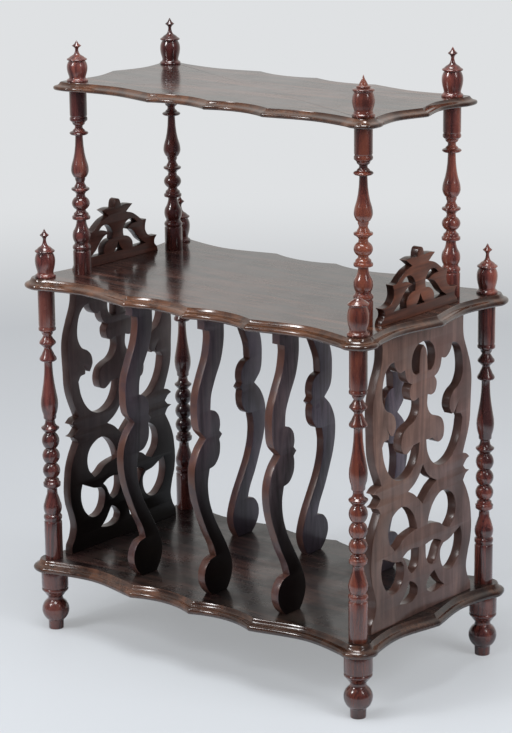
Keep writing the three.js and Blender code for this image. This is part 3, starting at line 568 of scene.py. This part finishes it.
def board_wood(name, tones, rim_tone, roughness, coat, relief, dust, smear, depth):
    """A shelf: figured along its length, with a paler moulded rim that is soiled in places and darkened in
    its hollows with dirt and painted shade.
    """
    wood = Rosewood(name, "x", tones)
    rim = wood.steps(wood.part_of(wood.facing, "z"), *RIM_FACING_RANGE)
    figured = wood.figured(streak=0.6)
    threads = wood.steps(wood.threads, *RIM_THREAD_RANGE)
    rim_wood = wood.blend(threads * RIM_THREAD_SHARE, shade(*rim_tone), wood.body)
    patches = wood.steps(wood.noise(wood.moved, scale=26.0, detail=5.0, roughness=0.7), *RIM_PATCH_RANGE)
    old_rim = wood.blend(patches * RIM_PATCH_SHARE, rim_wood, wood.dark)
    ends = wood.steps(wood.part_of(wood.facing, "x"), *BOARD_END_RANGE)
    old_rim = wood.blend(ends * BOARD_END_SHARE, old_rim, wood.dark)
    color = wood.clouded(wood.blend(rim * RIM_SHARE, figured, old_rim), depth)
    color = wood.worn(color, rub=0.5, crevice_dirt_and_shade=0.6, where=rim)
    color = wood.dusty(color, (1 - rim * RIM_DUST_LOSS) * dust)
    return wood.polished(color, rim * RIM_SMOOTHING + roughness, rim * RIM_COAT_GAIN + coat, relief, smear)


def turned_wood(name, tones):
    """Feet, columns and finials: figured upright, with a full gloss."""
    wood = Rosewood(name, "z", tones)
    # Painted shade: the turned work is darker towards the floor.
    low = wood.steps(wood.part_of(wood.place, "z"), *FOOT_SHADE_RANGE)
    figured = wood.blend(low * FOOT_SHADE_SHARE, wood.figured(streak=0.15, lit_side_tints=TURNED_LIT_SIDE_TINTS), wood.dark)
    color = wood.worn(wood.clouded(figured, depth=0.15), rub=0.3, crevice_dirt_and_shade=0.9)
    return wood.polished(wood.dusty(color, amount=0.05), roughness=0.24, coat=1.0, relief=0.05)


def sawn_wood(name, along, tones, edge_tone, inner_shade, outer_shade, back_shade_lift, roughness):
    """Fretwork: oiled faces, patchy sawn edges, an inner side painted darker as shade, and painted shade low
    down in the rack.
    """
    wood = Rosewood(name, along, tones)
    edges = wood.steps(wood.part_of(wood.facing, "x"), *SAWN_EDGE_RANGE)
    patches = wood.steps(wood.noise(wood.moved, scale=22.0, detail=5.0, roughness=0.65), *SAWN_PATCH_RANGE)
    sawn = wood.blend(patches * SAWN_PATCH_SHARE, shade(*edge_tone), wood.dark)
    color = wood.blend(edges * SAWN_EDGE_SHARE, wood.figured(streak=0.15), sawn)
    # Painted shade: faces turned towards the middle of the rack are darkened, and so is the wood low down in
    # the rack, where the coat is also thinned.
    across = wood.node("ShaderNodeSeparateXYZ", {}, {"Vector": wood.place}, output="X")
    facing_out = across * wood.node("ShaderNodeSeparateXYZ", {}, {"Vector": wood.facing}, output="X")
    inner = wood.steps(facing_out, *INNER_RANGE) * (1 - edges)
    height = wood.part_of(wood.place, "z")
    deep = wood.node("ShaderNodeSeparateXYZ", {}, {"Vector": wood.place}, output="Y")
    behind = wood.steps(deep, *BACK_RANGE)
    low_shade_share = inner * (inner_shade - outer_shade) + outer_shade
    low = wood.steps(height + behind * back_shade_lift, *LOW_SHADE_RANGE) * (1 - edges * SAWN_EDGE_SHARE) * low_shade_share
    color = wood.blend(inner * INNER_SHADE_SHARE, wood.clouded(color, depth=0.24), wood.dark)
    color = wood.worn(wood.blend(low, color, DIRT_AND_SHADE), rub=0.6, crevice_dirt_and_shade=0.6, where=edges)
    return wood.polished(wood.dusty(color, amount=0.05), roughness, (1 - low) * FRETWORK_COAT, relief=0.08,
                         shine=0.2, coat_haze=0.22)


def bare_wood(name):
    """The pins' own wood, without polish."""
    finish = Finish(bpy.data.materials.new(name))
    place = finish.node("ShaderNodeTexCoord", output="Object")
    grain = finish.node("ShaderNodeMapping", {}, {"Vector": place, "Scale": GRAIN_ALONG["z"]})
    fibres = finish.noise(grain, scale=12.0, detail=4.0)
    tint = finish.ramp(fibres, BARE_STOPS)
    finish.surface(finish.node("ShaderNodeBsdfPrincipled", {}, {
        "Base Color": tint, "Roughness": fibres * BARE_ROUGHNESS_SWING + BARE_ROUGHNESS}))
    return finish.owner


# Each wood's dark, middle and light tone.
BOARD_TONES = ((20, 12, 10), (46, 28, 22), (82, 53, 40))
# Painted shade: the bottom board's tones are darker than the other boards', as shade under the middle shelf.
LOW_BOARD_SHADED_TONES = ((10, 6, 6), (26, 16, 14), (54, 36, 29))
TURNED_TONES = ((42, 18, 14), (77, 37, 29), (98, 53, 38))
PANEL_TONES = ((74, 55, 50), (88, 67, 61), (101, 78, 70))
SLAT_TONES = ((48, 39, 43), (76, 66, 72), (92, 78, 82))
GALLERY_TONES = ((50, 26, 18), (71, 39, 27), (90, 52, 37))
FINISHES = {
    "board": board_wood("polished_board", BOARD_TONES, rim_tone=(89, 58, 40), roughness=0.25, coat=0.8,
                        relief=0.1, dust=0.08, smear=0.3, depth=0.2),
    # Painted shade: the bottom board's rim tone is darker too, as shade under the middle shelf; it also
    # carries more dust.
    "low_board": board_wood("dusty_board", LOW_BOARD_SHADED_TONES, rim_tone=(76, 49, 35), roughness=0.3, coat=0.28,
                            relief=0.2, dust=0.28, smear=0.9, depth=0.45),
    "turned": turned_wood("polished_turning", TURNED_TONES),
    # Each fretwork's shade shares set how much painted shade falls low down on its inner and outer faces.
    "fretted": sawn_wood("oiled_panel", "z", PANEL_TONES, edge_tone=(66, 45, 39), inner_shade=1.0,
                         outer_shade=0.3, back_shade_lift=0.0, roughness=0.34),
    "slat": sawn_wood("oiled_slat", "z", SLAT_TONES, edge_tone=(88, 55, 42), inner_shade=1.0,
                      outer_shade=0.97, back_shade_lift=0.2, roughness=0.32),
    "gallery": sawn_wood("oiled_gallery", "y", GALLERY_TONES, edge_tone=(40, 26, 23), inner_shade=0.0,
                         outer_shade=0.0, back_shade_lift=0.0, roughness=0.32),
    "dowel": bare_wood("bare_dowel"),
}


def place_piece(name, mesh, slot, finish=None):
    """Puts a finished mesh in the place of the frame's node of that name."""
    piece = bpy.data.objects.new(name + "_fine", mesh)
    bpy.context.scene.collection.objects.link(piece)
    mesh.materials.clear()
    mesh.materials.append(FINISHES[finish or slot])
    mesh.set_sharp_from_angle(angle=CREASE_ANGLE)
    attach(piece, "root")
    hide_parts(name)


def mesh_from(name, corners, faces):
    mesh = bpy.data.meshes.new(name)
    mesh.from_pydata(corners, [], faces)
    mesh.validate()
    mesh.shade_smooth()
    return mesh


def welded(mesh):
    """Joins the corners that lie on one another, and turns every face outwards."""
    shell = bmesh.new()
    shell.from_mesh(mesh)
    bmesh.ops.remove_doubles(shell, verts=shell.verts, dist=WELD_REACH)
    bmesh.ops.recalc_face_normals(shell, faces=shell.faces)
    shell.to_mesh(mesh)
    shell.free()
    mesh.shade_smooth()
    return mesh


def flat_faced(mesh, axis):
    """Takes the smooth shading off the faces that lie square to an axis."""
    for polygon in mesh.polygons:
        polygon.use_smooth = abs(getattr(polygon.normal, axis)) < SQUARE_LIMIT
    return mesh


def eased(points):
    """Cuts a small ease across each sharp corner of an open outline."""
    result = [points[0]]
    for before, corner, after in zip(points, points[1:], points[2:]):
        back = before - corner
        on = after - corner
        if back.length == 0 or on.length == 0:
            continue
        if math.pi - back.angle(on) > SHARP_TURN:
            reach = min(CORNER_EASE, back.length / EASE_PARTS, on.length / EASE_PARTS)
            middle = corner + (back.normalized() + on.normalized()) * reach * EASE_PULL
            result += [corner + back.normalized() * reach, middle, corner + on.normalized() * reach]
        else:
            result.append(corner)
    return result + [points[-1]]


def turned_outline(shares, radius, height):
    """Real radii and heights of a turned outline, with its rings, balls and vases rounded by a sine swell."""
    points = []
    for index, entry in enumerate(shares):
        across, up = entry[:2]
        swell = entry[2] if len(entry) > 2 else 0
        following = shares[index + 1] if index + 1 < len(shares) else entry
        count = SWELL_STEPS if swell else 1
        for step in range(count):
            along = step / count
            swollen = swell * math.sin(math.pi * along) ** SWELL_FULLNESS
            share = across + (following[0] - across) * along + swollen
            points.append(Vector((share * radius, (up + (following[1] - up) * along) * height)))
    return points


def turned(name, outline, axis, base):
    """Spins an outline that starts and ends on the axis, and closes it into one shell."""
    inner = [point for point in outline if point.x > 0]
    corners = [(axis.x, axis.y, base + outline[0].y)]
    for point in inner:
        for side in range(TURNED_SIDES):
            angle = math.tau * side / TURNED_SIDES
            corners.append((axis.x + point.x * math.cos(angle), axis.y + point.x * math.sin(angle),
                            base + point.y))
    corners.append((axis.x, axis.y, base + outline[-1].y))
    last = len(corners) - 1
    faces = []
    for side in range(TURNED_SIDES):
        on = (side + 1) % TURNED_SIDES
        faces.append((0, 1 + on, 1 + side))
        for ring in range(len(inner) - 1):
            low = 1 + ring * TURNED_SIDES
            high = low + TURNED_SIDES
            faces.append((low + side, low + on, high + on, high + side))
        top = 1 + (len(inner) - 1) * TURNED_SIDES
        faces.append((top + side, top + on, last))
    return mesh_from(name, corners, faces)


def turned_piece(node, shares, radius, height, base):
    outline = turned_outline(shares, radius, height)
    closed = [Vector((0, outline[0].y)), *outline, Vector((0, height))]
    place_piece(node, turned(node, eased(closed), middle_of(node), base), "turned")


def catmull_rom(points, step):
    """A smooth centripetal curve through the points, without its last one."""
    ends = [points[0] * 2 - points[1], *points, points[-1] * 2 - points[-2]]
    curve = []
    for before, start, end, after in zip(ends, ends[1:], ends[2:], ends[3:]):
        knots = [0.0]
        for one, other in ((before, start), (start, end), (end, after)):
            knots.append(knots[-1] + max((other - one).length, LEAST_CHORD) ** KNOT_POWER)
        count = max(1, round((end - start).length / step))
        for index in range(count):
            t = knots[1] + (knots[2] - knots[1]) * index / count
            first = before.lerp(start, (t - knots[0]) / (knots[1] - knots[0]))
            second = start.lerp(end, (t - knots[1]) / (knots[2] - knots[1]))
            third = end.lerp(after, (t - knots[2]) / (knots[3] - knots[2]))
            left = first.lerp(second, (t - knots[0]) / (knots[2] - knots[0]))
            right = second.lerp(third, (t - knots[1]) / (knots[3] - knots[1]))
            curve.append(left.lerp(right, (t - knots[1]) / (knots[2] - knots[1])))
    return curve


def scaled(shares, across, up):
    """The stretches of an outline in real sizes."""
    return [[Vector((x * across, z * up)) for x, z in stretch] for stretch in shares]


def smooth_stretch(points):
    return catmull_rom(points, SAWN_STEP) if len(points) > 2 else points[:1]


def traced_loop(shares, across, up):
    """A closed loop, whose stretches each run on to the start of the next."""
    stretches = scaled(shares, across, up)
    loop = []
    for stretch, following in zip(stretches, stretches[1:] + stretches[:1]):
        loop += smooth_stretch(stretch + following[:1])
    return loop


def mirrored_loop(shares, across, up):
    """A loop from its right half, which runs from the top to the foot."""
    stretches = scaled(shares, across, up)
    right = []
    for stretch, following in zip(stretches, stretches[1:]):
        right += smooth_stretch(stretch + following[:1])
    right += (smooth_stretch(stretches[-1]) if len(stretches[-1]) > 1 else []) + stretches[-1][-1:]
    return right + [Vector((-point.x, point.y)) for point in reversed(right) if point.x > 0]


def flipped(loop):
    """The loop from its other side."""
    return [Vector((-point.x, point.y)) for point in loop]


def standing_board(name, loops, thickness, place):
    """A sawn board on edge. Its outline lies in Y and Z, and its arrises are rounded over."""
    outline = bpy.data.curves.new(name, "CURVE")
    outline.dimensions = "2D"
    outline.fill_mode = "BOTH"
    outline.extrude = thickness / 2 - ARRIS
    outline.bevel_depth = ARRIS
    outline.bevel_resolution = ARRIS_STEPS
    outline.offset = -ARRIS
    for loop in loops:
        spline = outline.splines.new("POLY")
        spline.points.add(len(loop) - 1)
        for point, corner in zip(spline.points, loop):
            point.co = (corner.x, corner.y, 0, 1)
        spline.use_cyclic_u = True
    sketch = bpy.data.objects.new(name, outline)
    bpy.context.scene.collection.objects.link(sketch)
    bpy.context.view_layer.update()
    worked_out = bpy.context.evaluated_depsgraph_get()
    mesh = bpy.data.meshes.new_from_object(sketch.evaluated_get(worked_out))
    bpy.data.objects.remove(sketch)
    bpy.data.curves.remove(outline)
    upright = Matrix(((0, 0, 1, place.x), (1, 0, 0, place.y), (0, 1, 0, place.z), (0, 0, 0, 1)))
    mesh.transform(upright)
    return flat_faced(welded(mesh), "x")


def fretted_piece(node, loops, thickness, forward, shelf, finish):
    """A standing board on a shelf, in the place that the frame gives its node from left to right."""
    place = Vector((middle_of(node).x, -forward, SHELF_TOPS[shelf]))
    place_piece(node, standing_board(node, loops, thickness, place), "fretted", finish)


def corner_ear(edge, side, end):
    """The rounded ear round one column, from its end to its side."""
    ear = []
    for angle in EAR_ANGLES:
        radius = edge["ear_tip_radius"] if angle == EAR_TIP else edge["ear_radius"]
        turn = math.radians(angle)
        ear.append(Vector((side * (edge["column"].x + radius * math.cos(turn)),
                           end * (edge["column"].y + radius * math.sin(turn)))))
    return ear


def quarter_run(edge, side, end):
    """From a point of the front or back, round its corner's ear, to the bump in the middle of the side."""
    across, deep = edge["column"]
    nodes = [
        Vector((side * across * edge["point_share"] + edge["point_shift"],
                end * (deep + edge["point_reach"]))),
        Vector((side * across * edge["outer_hollow_share"] + edge["point_shift"],
                end * (deep + edge["outer_hollow_reach"]))),
        *corner_ear(edge, side, end),
        Vector((side * (across + edge["side_hollow_reach"]), end * deep * edge["side_hollow_share"])),
        Vector((side * (across + edge["side_bump_reach"]), 0)),
    ]
    return catmull_rom(nodes, EDGE_STEP) + nodes[-1:]


def inner_hollows(edge, end):
    """The two hollows between the three points of one end, from left to right. Each is a parabola."""
    across, deep = edge["column"]
    point_x = across * edge["point_share"]
    hollow_depth = edge["point_reach"] - edge["inner_hollow_reach"]
    hollows = []
    for start in (-1, 0):
        for step in range(SCALLOP_STEPS):
            along = step / SCALLOP_STEPS
            depth = hollow_depth * 4 * along * (1 - along)
            hollows.append(Vector(((start + along) * point_x + edge["point_shift"],
                                   end * (deep + edge["point_reach"] - depth))))
    return hollows


def side_stretch(edge, side):
    """One side of the rim, from the outer point of the front to that of the back."""
    return quarter_run(edge, side, -1)[:-1] + quarter_run(edge, side, 1)[::-1]


def shelf_outline(edge):
    """The rim seen from above, counter-clockwise from the left point of the front."""
    right = side_stretch(edge, 1)
    left = side_stretch(edge, -1)[::-1]
    back = (inner_hollows(edge, 1) + right[-1:])[::-1]
    return inner_hollows(edge, -1) + right[:-1] + back[:-1] + left[:-1]


def inset(loop, depth):
    """Moves the outline inwards. Corners that would run past a sharp point of the rim stop on it."""
    count = len(loop)
    moved, sharp = [], []
    for index, point in enumerate(loop):
        arrive = (point - loop[index - 1]).normalized()
        leave = (loop[(index + 1) % count] - point).normalized()
        if arrive.dot(leave) < math.cos(SHARP_TURN):
            sharp.append(index)
        inward = Vector((-arrive.y - leave.y, arrive.x + leave.x)).normalized()
        moved.append(point + inward * depth / max(inward.dot(Vector((-arrive.y, arrive.x))), STEEPEST_MITRE))
    for corner in sharp:
        for way in (1, -1):
            index = (corner + way) % count
            while (moved[index] - moved[corner]).dot(loop[index] - loop[corner]) < 0:
                moved[index] = moved[corner]
                index = (index + way) % count
    return moved


def rim_profile(thickness):
    """Inset and drop down the moulded rim, from the flat top to the flat underside."""
    level_edge = RIM_OVERHANG + RIM_LEVEL_BAND
    profile = [(level_edge, 0), (RIM_OVERHANG, 0), (RIM_OVERHANG - RIM_STEP_INSET, RIM_STEP_DROP)]
    for step in range(RIM_CURVE_STEPS + 1):
        along = step / RIM_CURVE_STEPS
        sag = RIM_HOLLOW_SAG_SHARE * math.sin(math.pi * along)
        inset_share, drop_share = (
            first + (last - first) * along + sag
            for first, last in (RIM_HOLLOW_INSET_SHARES, RIM_HOLLOW_DROP_SHARES))
        profile.append((RIM_OVERHANG * inset_share, thickness * drop_share))
    lip = thickness * RIM_LIP_SHARE
    first, last = RIM_LIP_ARC
    for step in range(1, RIM_CURVE_STEPS + 2):
        angle = math.radians(first + (last - first) * step / (RIM_CURVE_STEPS + 1))
        profile.append((lip * (1 - math.cos(angle)), thickness - lip * (1 - math.sin(angle))))
    profile.append((level_edge, thickness))
    return profile


def moulded_board(name, edge, finish="board"):
    """Rings of corners run from the middle of the top, out and round the rim, to the middle underneath."""
    outline = shelf_outline(edge)
    count = len(outline)
    top = SHELF_TOPS[name]
    bottom = top - SHELF_THICKNESSES[name]
    profile = rim_profile(SHELF_THICKNESSES[name])
    rim = [[(point.x, point.y, top - drop) for point in inset(outline, depth)] for depth, drop in profile]
    upper = [[(x * share, y * share, top) for x, y, _ in rim[0]] for share in LEVEL_RING_SHARES]
    lower = [[(x * share, y * share, bottom) for x, y, _ in rim[-1]] for share in reversed(LEVEL_RING_SHARES)]
    rings = [*upper, *rim, *lower]
    corners = [corner for ring in rings for corner in ring] + [(0, 0, top), (0, 0, bottom)]
    top_middle, low_middle = len(corners) - 2, len(corners) - 1
    last = (len(rings) - 1) * count
    faces = []
    for index in range(count):
        on = (index + 1) % count
        faces.append((top_middle, index, on))
        faces.append((low_middle, last + on, last + index))
        for above in range(0, last, count):
            faces.append((above + index, above + count + index, above + count + on, above + on))
    mesh = flat_faced(welded(mesh_from(name, corners, faces)), "z")
    place_piece(name, mesh, "board", finish)


def make_shelves():
    moulded_board("bottom_shelf", LOWER_EDGE, "low_board")
    moulded_board("middle_shelf", LOWER_EDGE)
    moulded_board("top_shelf", TOP_EDGE)


def make_supports():
    """Feet, columns and finials at the four corners. Three of the front finials are odd ones."""
    odd = {
        "middle_finial_front_right": (BROKEN_FINIAL_SHARES, BROKEN_FINIAL_HEIGHT),
        "top_finial_front_right": (SPIKE_FINIAL_SHARES, SPIKE_FINIAL_HEIGHT),
        "top_finial_front_left": (FINIAL_SHARES, SHORT_FINIAL_HEIGHT),
    }
    for end in ("front", "back"):
        for side in ("left", "right"):
            corner = f"{end}_{side}"
            turned_piece(f"foot_{corner}", FOOT_SHARES, FOOT_RADIUS, FOOT_HEIGHT, 0)
            turned_piece(f"lower_column_{corner}", LOWER_COLUMN_SHARES, COLUMN_RADIUS, LOWER_HEIGHT,
                         SHELF_TOPS["bottom_shelf"])
            turned_piece(f"upper_column_{corner}", UPPER_COLUMN_SHARES, COLUMN_RADIUS, UPPER_HEIGHT,
                         SHELF_TOPS["middle_shelf"])
            for stage, height in FINIAL_HEIGHTS.items():
                node = f"{stage}_finial_{corner}"
                shares, height = odd.get(node, (FINIAL_SHARES, height))
                turned_piece(node, shares, FINIAL_RADIUS, height, SHELF_TOPS[f"{stage}_shelf"])


def make_fretwork():
    """The two fretted sides and the two galleries, with their openings sawn out."""
    size = (PANEL_HALF_LENGTH, LOWER_HEIGHT)
    pierced = [traced_loop(shares, *size) for shares in (
        PANEL_SCROLL_SHARES, PANEL_RING_SHARES, PANEL_BELL_SHARES, PANEL_LEAF_SHARES, PANEL_FOOT_SHARES)]
    pierced += [*map(flipped, pierced), mirrored_loop(PANEL_ARCH_HALF_SHARES, *size),
                mirrored_loop(PANEL_DIAMOND_HALF_SHARES, *size)]
    lift = Vector((0, PANEL_FRET_LIFT))
    panel_loops = [mirrored_loop(PANEL_HALF_SHARES, *size)]
    panel_loops += [[point + lift for point in loop] for loop in pierced]
    gallery_size = (GALLERY_HALF_LENGTH, GALLERY_HEIGHT)
    eye = traced_loop(GALLERY_EYE_SHARES, *gallery_size)
    gallery_loops = [mirrored_loop(GALLERY_HALF_SHARES, *gallery_size), eye, flipped(eye),
                     mirrored_loop(GALLERY_STEM_HALF_SHARES, *gallery_size)]
    for side in ("left", "right"):
        fretted_piece(f"side_panel_{side}", panel_loops, PANEL_THICKNESS, RACK_FORWARD,
                      "bottom_shelf", "fretted")
        fretted_piece(f"gallery_{side}", gallery_loops, GALLERY_THICKNESS, GALLERY_FORWARD,
                      "middle_shelf", "gallery")


def make_scrolls():
    """Six S-scroll slats. The front ones are the mirror of the back ones."""
    outward = Vector((SLAT_REACH - SLAT_DEPTH, 0))
    loop = [point + outward for point in traced_loop(SLAT_SHARES, SLAT_DEPTH, LOWER_HEIGHT)]
    for divider in ("left", "middle", "right"):
        for end, slat in (("front", flipped(loop)), ("back", loop)):
            fretted_piece(f"scroll_{divider}_{end}", [slat], SLAT_THICKNESS, RACK_FORWARD,
                          "bottom_shelf", "slat")


def make_camera():
    """The camera looks along the view's azimuth and elevation, and is shifted and rolled a little."""
    azimuth = math.radians(VIEW_AZIMUTH)
    elevation = math.radians(VIEW_ELEVATION)
    roll = math.radians(VIEW_ROLL)
    back = Vector((math.sin(azimuth) * math.cos(elevation), -math.cos(azimuth) * math.cos(elevation),
                   math.sin(elevation)))
    level = Vector((math.cos(azimuth), math.sin(azimuth), 0))
    plumb = back.cross(level)
    right = level * math.cos(roll) + plumb * math.sin(roll)
    up = plumb * math.cos(roll) - level * math.sin(roll)
    place = VIEW_AIM + back * VIEW_DISTANCE + right * VIEW_OFFSET.x + up * VIEW_OFFSET.y
    lens = bpy.data.cameras.new("camera")
    lens.lens = FOCAL_LENGTH
    lens.sensor_width = SENSOR
    camera = bpy.data.objects.new("camera", lens)
    camera.matrix_world = Matrix((
        (right.x, up.x, back.x, place.x),
        (right.y, up.y, back.y, place.y),
        (right.z, up.z, back.z, place.z),
        (0, 0, 0, 1)))
    bpy.context.scene.collection.objects.link(camera)
    bpy.context.scene.camera = camera


# The studio's soft boxes. Each has its azimuth from the front, height, distance, size and power, and says
# whether polish shows it.
SOFT_BOXES = {
    "right_box": (92, 1.7, 2.6, (1.5, 2.2), 56, False),
    "right_strip": (84, 2.2, 2.5, (0.4, 1.1), 9, True),
    "left_box": (-28, 1.7, 2.8, (1.3, 2.2), 44, False),
    "left_strip": (-22, 2.3, 2.6, (0.5, 1.2), 15, True),
    "top_box": (10, 3.0, 0.7, (1.2, 1.2), 56, True),
    "spark": (-24, 2.3, 2.3, (0.3, 0.3), 9, True),
}
LAMP_AIM = Vector((0, 0, 0.45))
FLOOR_HALF = 30.0
FLOOR_TONE = shade(184, 189, 195)
FAR_TONE = shade(223, 225, 227)
FLOOR_FADE = (1.0, 3.8)
FLOOR_GLOW_SHARE = 0.4
PAPER_ROUGHNESS = 0.55

# What polish mirrors: a dim room on the viewer's side and the pale backdrop on the far side.
ROOM_TONE = (0.12, 0.10, 0.12, 1.0)
BACKDROP_TONE = (0.58, 0.575, 0.56, 1.0)
FILL_TONE = (0.30, 0.31, 0.33, 1.0)
MIRROR_TURN = (-0.45, 0.75)
MIRROR_REACH = (0.8, 1.8)


def far_side(finish, direction):
    """How far a direction, or a place seen from the middle, lies on the side away from the viewer."""
    turn = math.radians(VIEW_AZIMUTH)
    level = finish.node("ShaderNodeVectorMath", {"operation": "MULTIPLY"}, {0: direction, 1: (1, 1, 0)})
    unit = finish.node("ShaderNodeVectorMath", {"operation": "NORMALIZE"}, {0: level})
    return finish.steps(finish.along(unit, (-math.sin(turn), math.cos(turn), 0)), *MIRROR_TURN)


def make_lamps():
    for name, (azimuth, height, distance, size, power, mirrored) in SOFT_BOXES.items():
        lamp = bpy.data.lights.new(name, "AREA")
        lamp.shape = "RECTANGLE"
        lamp.size, lamp.size_y = size
        lamp.energy = power
        turn = math.radians(azimuth)
        place = Vector((math.sin(turn) * distance, -math.cos(turn) * distance, height))
        box = bpy.data.objects.new(name, lamp)
        box.location = place
        box.visible_glossy = mirrored
        box.rotation_euler = (place - LAMP_AIM).to_track_quat("Z", "Y").to_euler()
        bpy.context.scene.collection.objects.link(box)


def make_world():
    """What lies round the piece: a mirrored room and backdrop, an even fill, and a pale distance."""
    world = bpy.data.worlds.new("studio")
    bpy.context.scene.world = world
    finish = Finish(world)
    direction = finish.node("ShaderNodeTexCoord", output="Generated")
    mirrored = finish.blend(far_side(finish, direction), ROOM_TONE, BACKDROP_TONE)
    diffuse = finish.node("ShaderNodeLightPath", output="Is Diffuse Ray")
    seen = finish.node("ShaderNodeLightPath", output="Is Camera Ray")
    color = finish.blend(seen, finish.blend(diffuse, mirrored, FILL_TONE), FAR_TONE)
    sky = finish.node("ShaderNodeBackground", {}, {"Color": color})
    finish.node("ShaderNodeOutputWorld", {}, {"Surface": sky})


def make_floor():
    """A wide pale floor. Near the piece it takes shadows, and far off it turns into the even backdrop."""
    corners = [(x * FLOOR_HALF, y * FLOOR_HALF, 0) for x, y in ((-1, -1), (1, -1), (1, 1), (-1, 1))]
    mesh = mesh_from("studio_floor", corners, [(0, 1, 2, 3)])
    floor = bpy.data.objects.new("studio_floor", mesh)
    bpy.context.scene.collection.objects.link(floor)
    finish = Finish(bpy.data.materials.new("studio_paper"))
    place = finish.node("ShaderNodeTexCoord", output="Object")
    reach = finish.node("ShaderNodeVectorMath", {"operation": "LENGTH"}, {0: place}, output="Value")
    camera_ray = finish.node("ShaderNodeLightPath", output="Is Camera Ray")
    mirror_ray = finish.node("ShaderNodeLightPath", output="Is Glossy Ray")
    even = finish.maths("MAXIMUM", finish.steps(reach, *FLOOR_FADE), FLOOR_GLOW_SHARE)
    far = even * camera_ray + finish.steps(reach, *MIRROR_REACH) * mirror_ray
    mirrored = finish.blend(far_side(finish, place), ROOM_TONE, BACKDROP_TONE)
    paper = finish.node("ShaderNodeBsdfPrincipled", {},
                        {"Base Color": FLOOR_TONE, "Roughness": PAPER_ROUGHNESS})
    glow = finish.node("ShaderNodeEmission", {}, {"Color": finish.blend(mirror_ray, FAR_TONE, mirrored)})
    finish.surface(finish.node("ShaderNodeMixShader", {}, {0: far, 1: paper, 2: glow}))
    mesh.materials.append(finish.owner)


def dress_dowels():
    """The gallery pins keep their solids and get the bare wood."""
    for end in ("front", "back"):
        for side in ("left", "right"):
            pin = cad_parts[f"gallery_dowel_{end}_{side}"]
            pin.material_slots[0].material = FINISHES["dowel"]


make_camera()
make_shelves()
make_supports()
make_fretwork()
make_scrolls()
dress_dowels()
make_lamps()
make_world()
make_floor()

bpy.context.scene.view_settings.view_transform = "Standard"
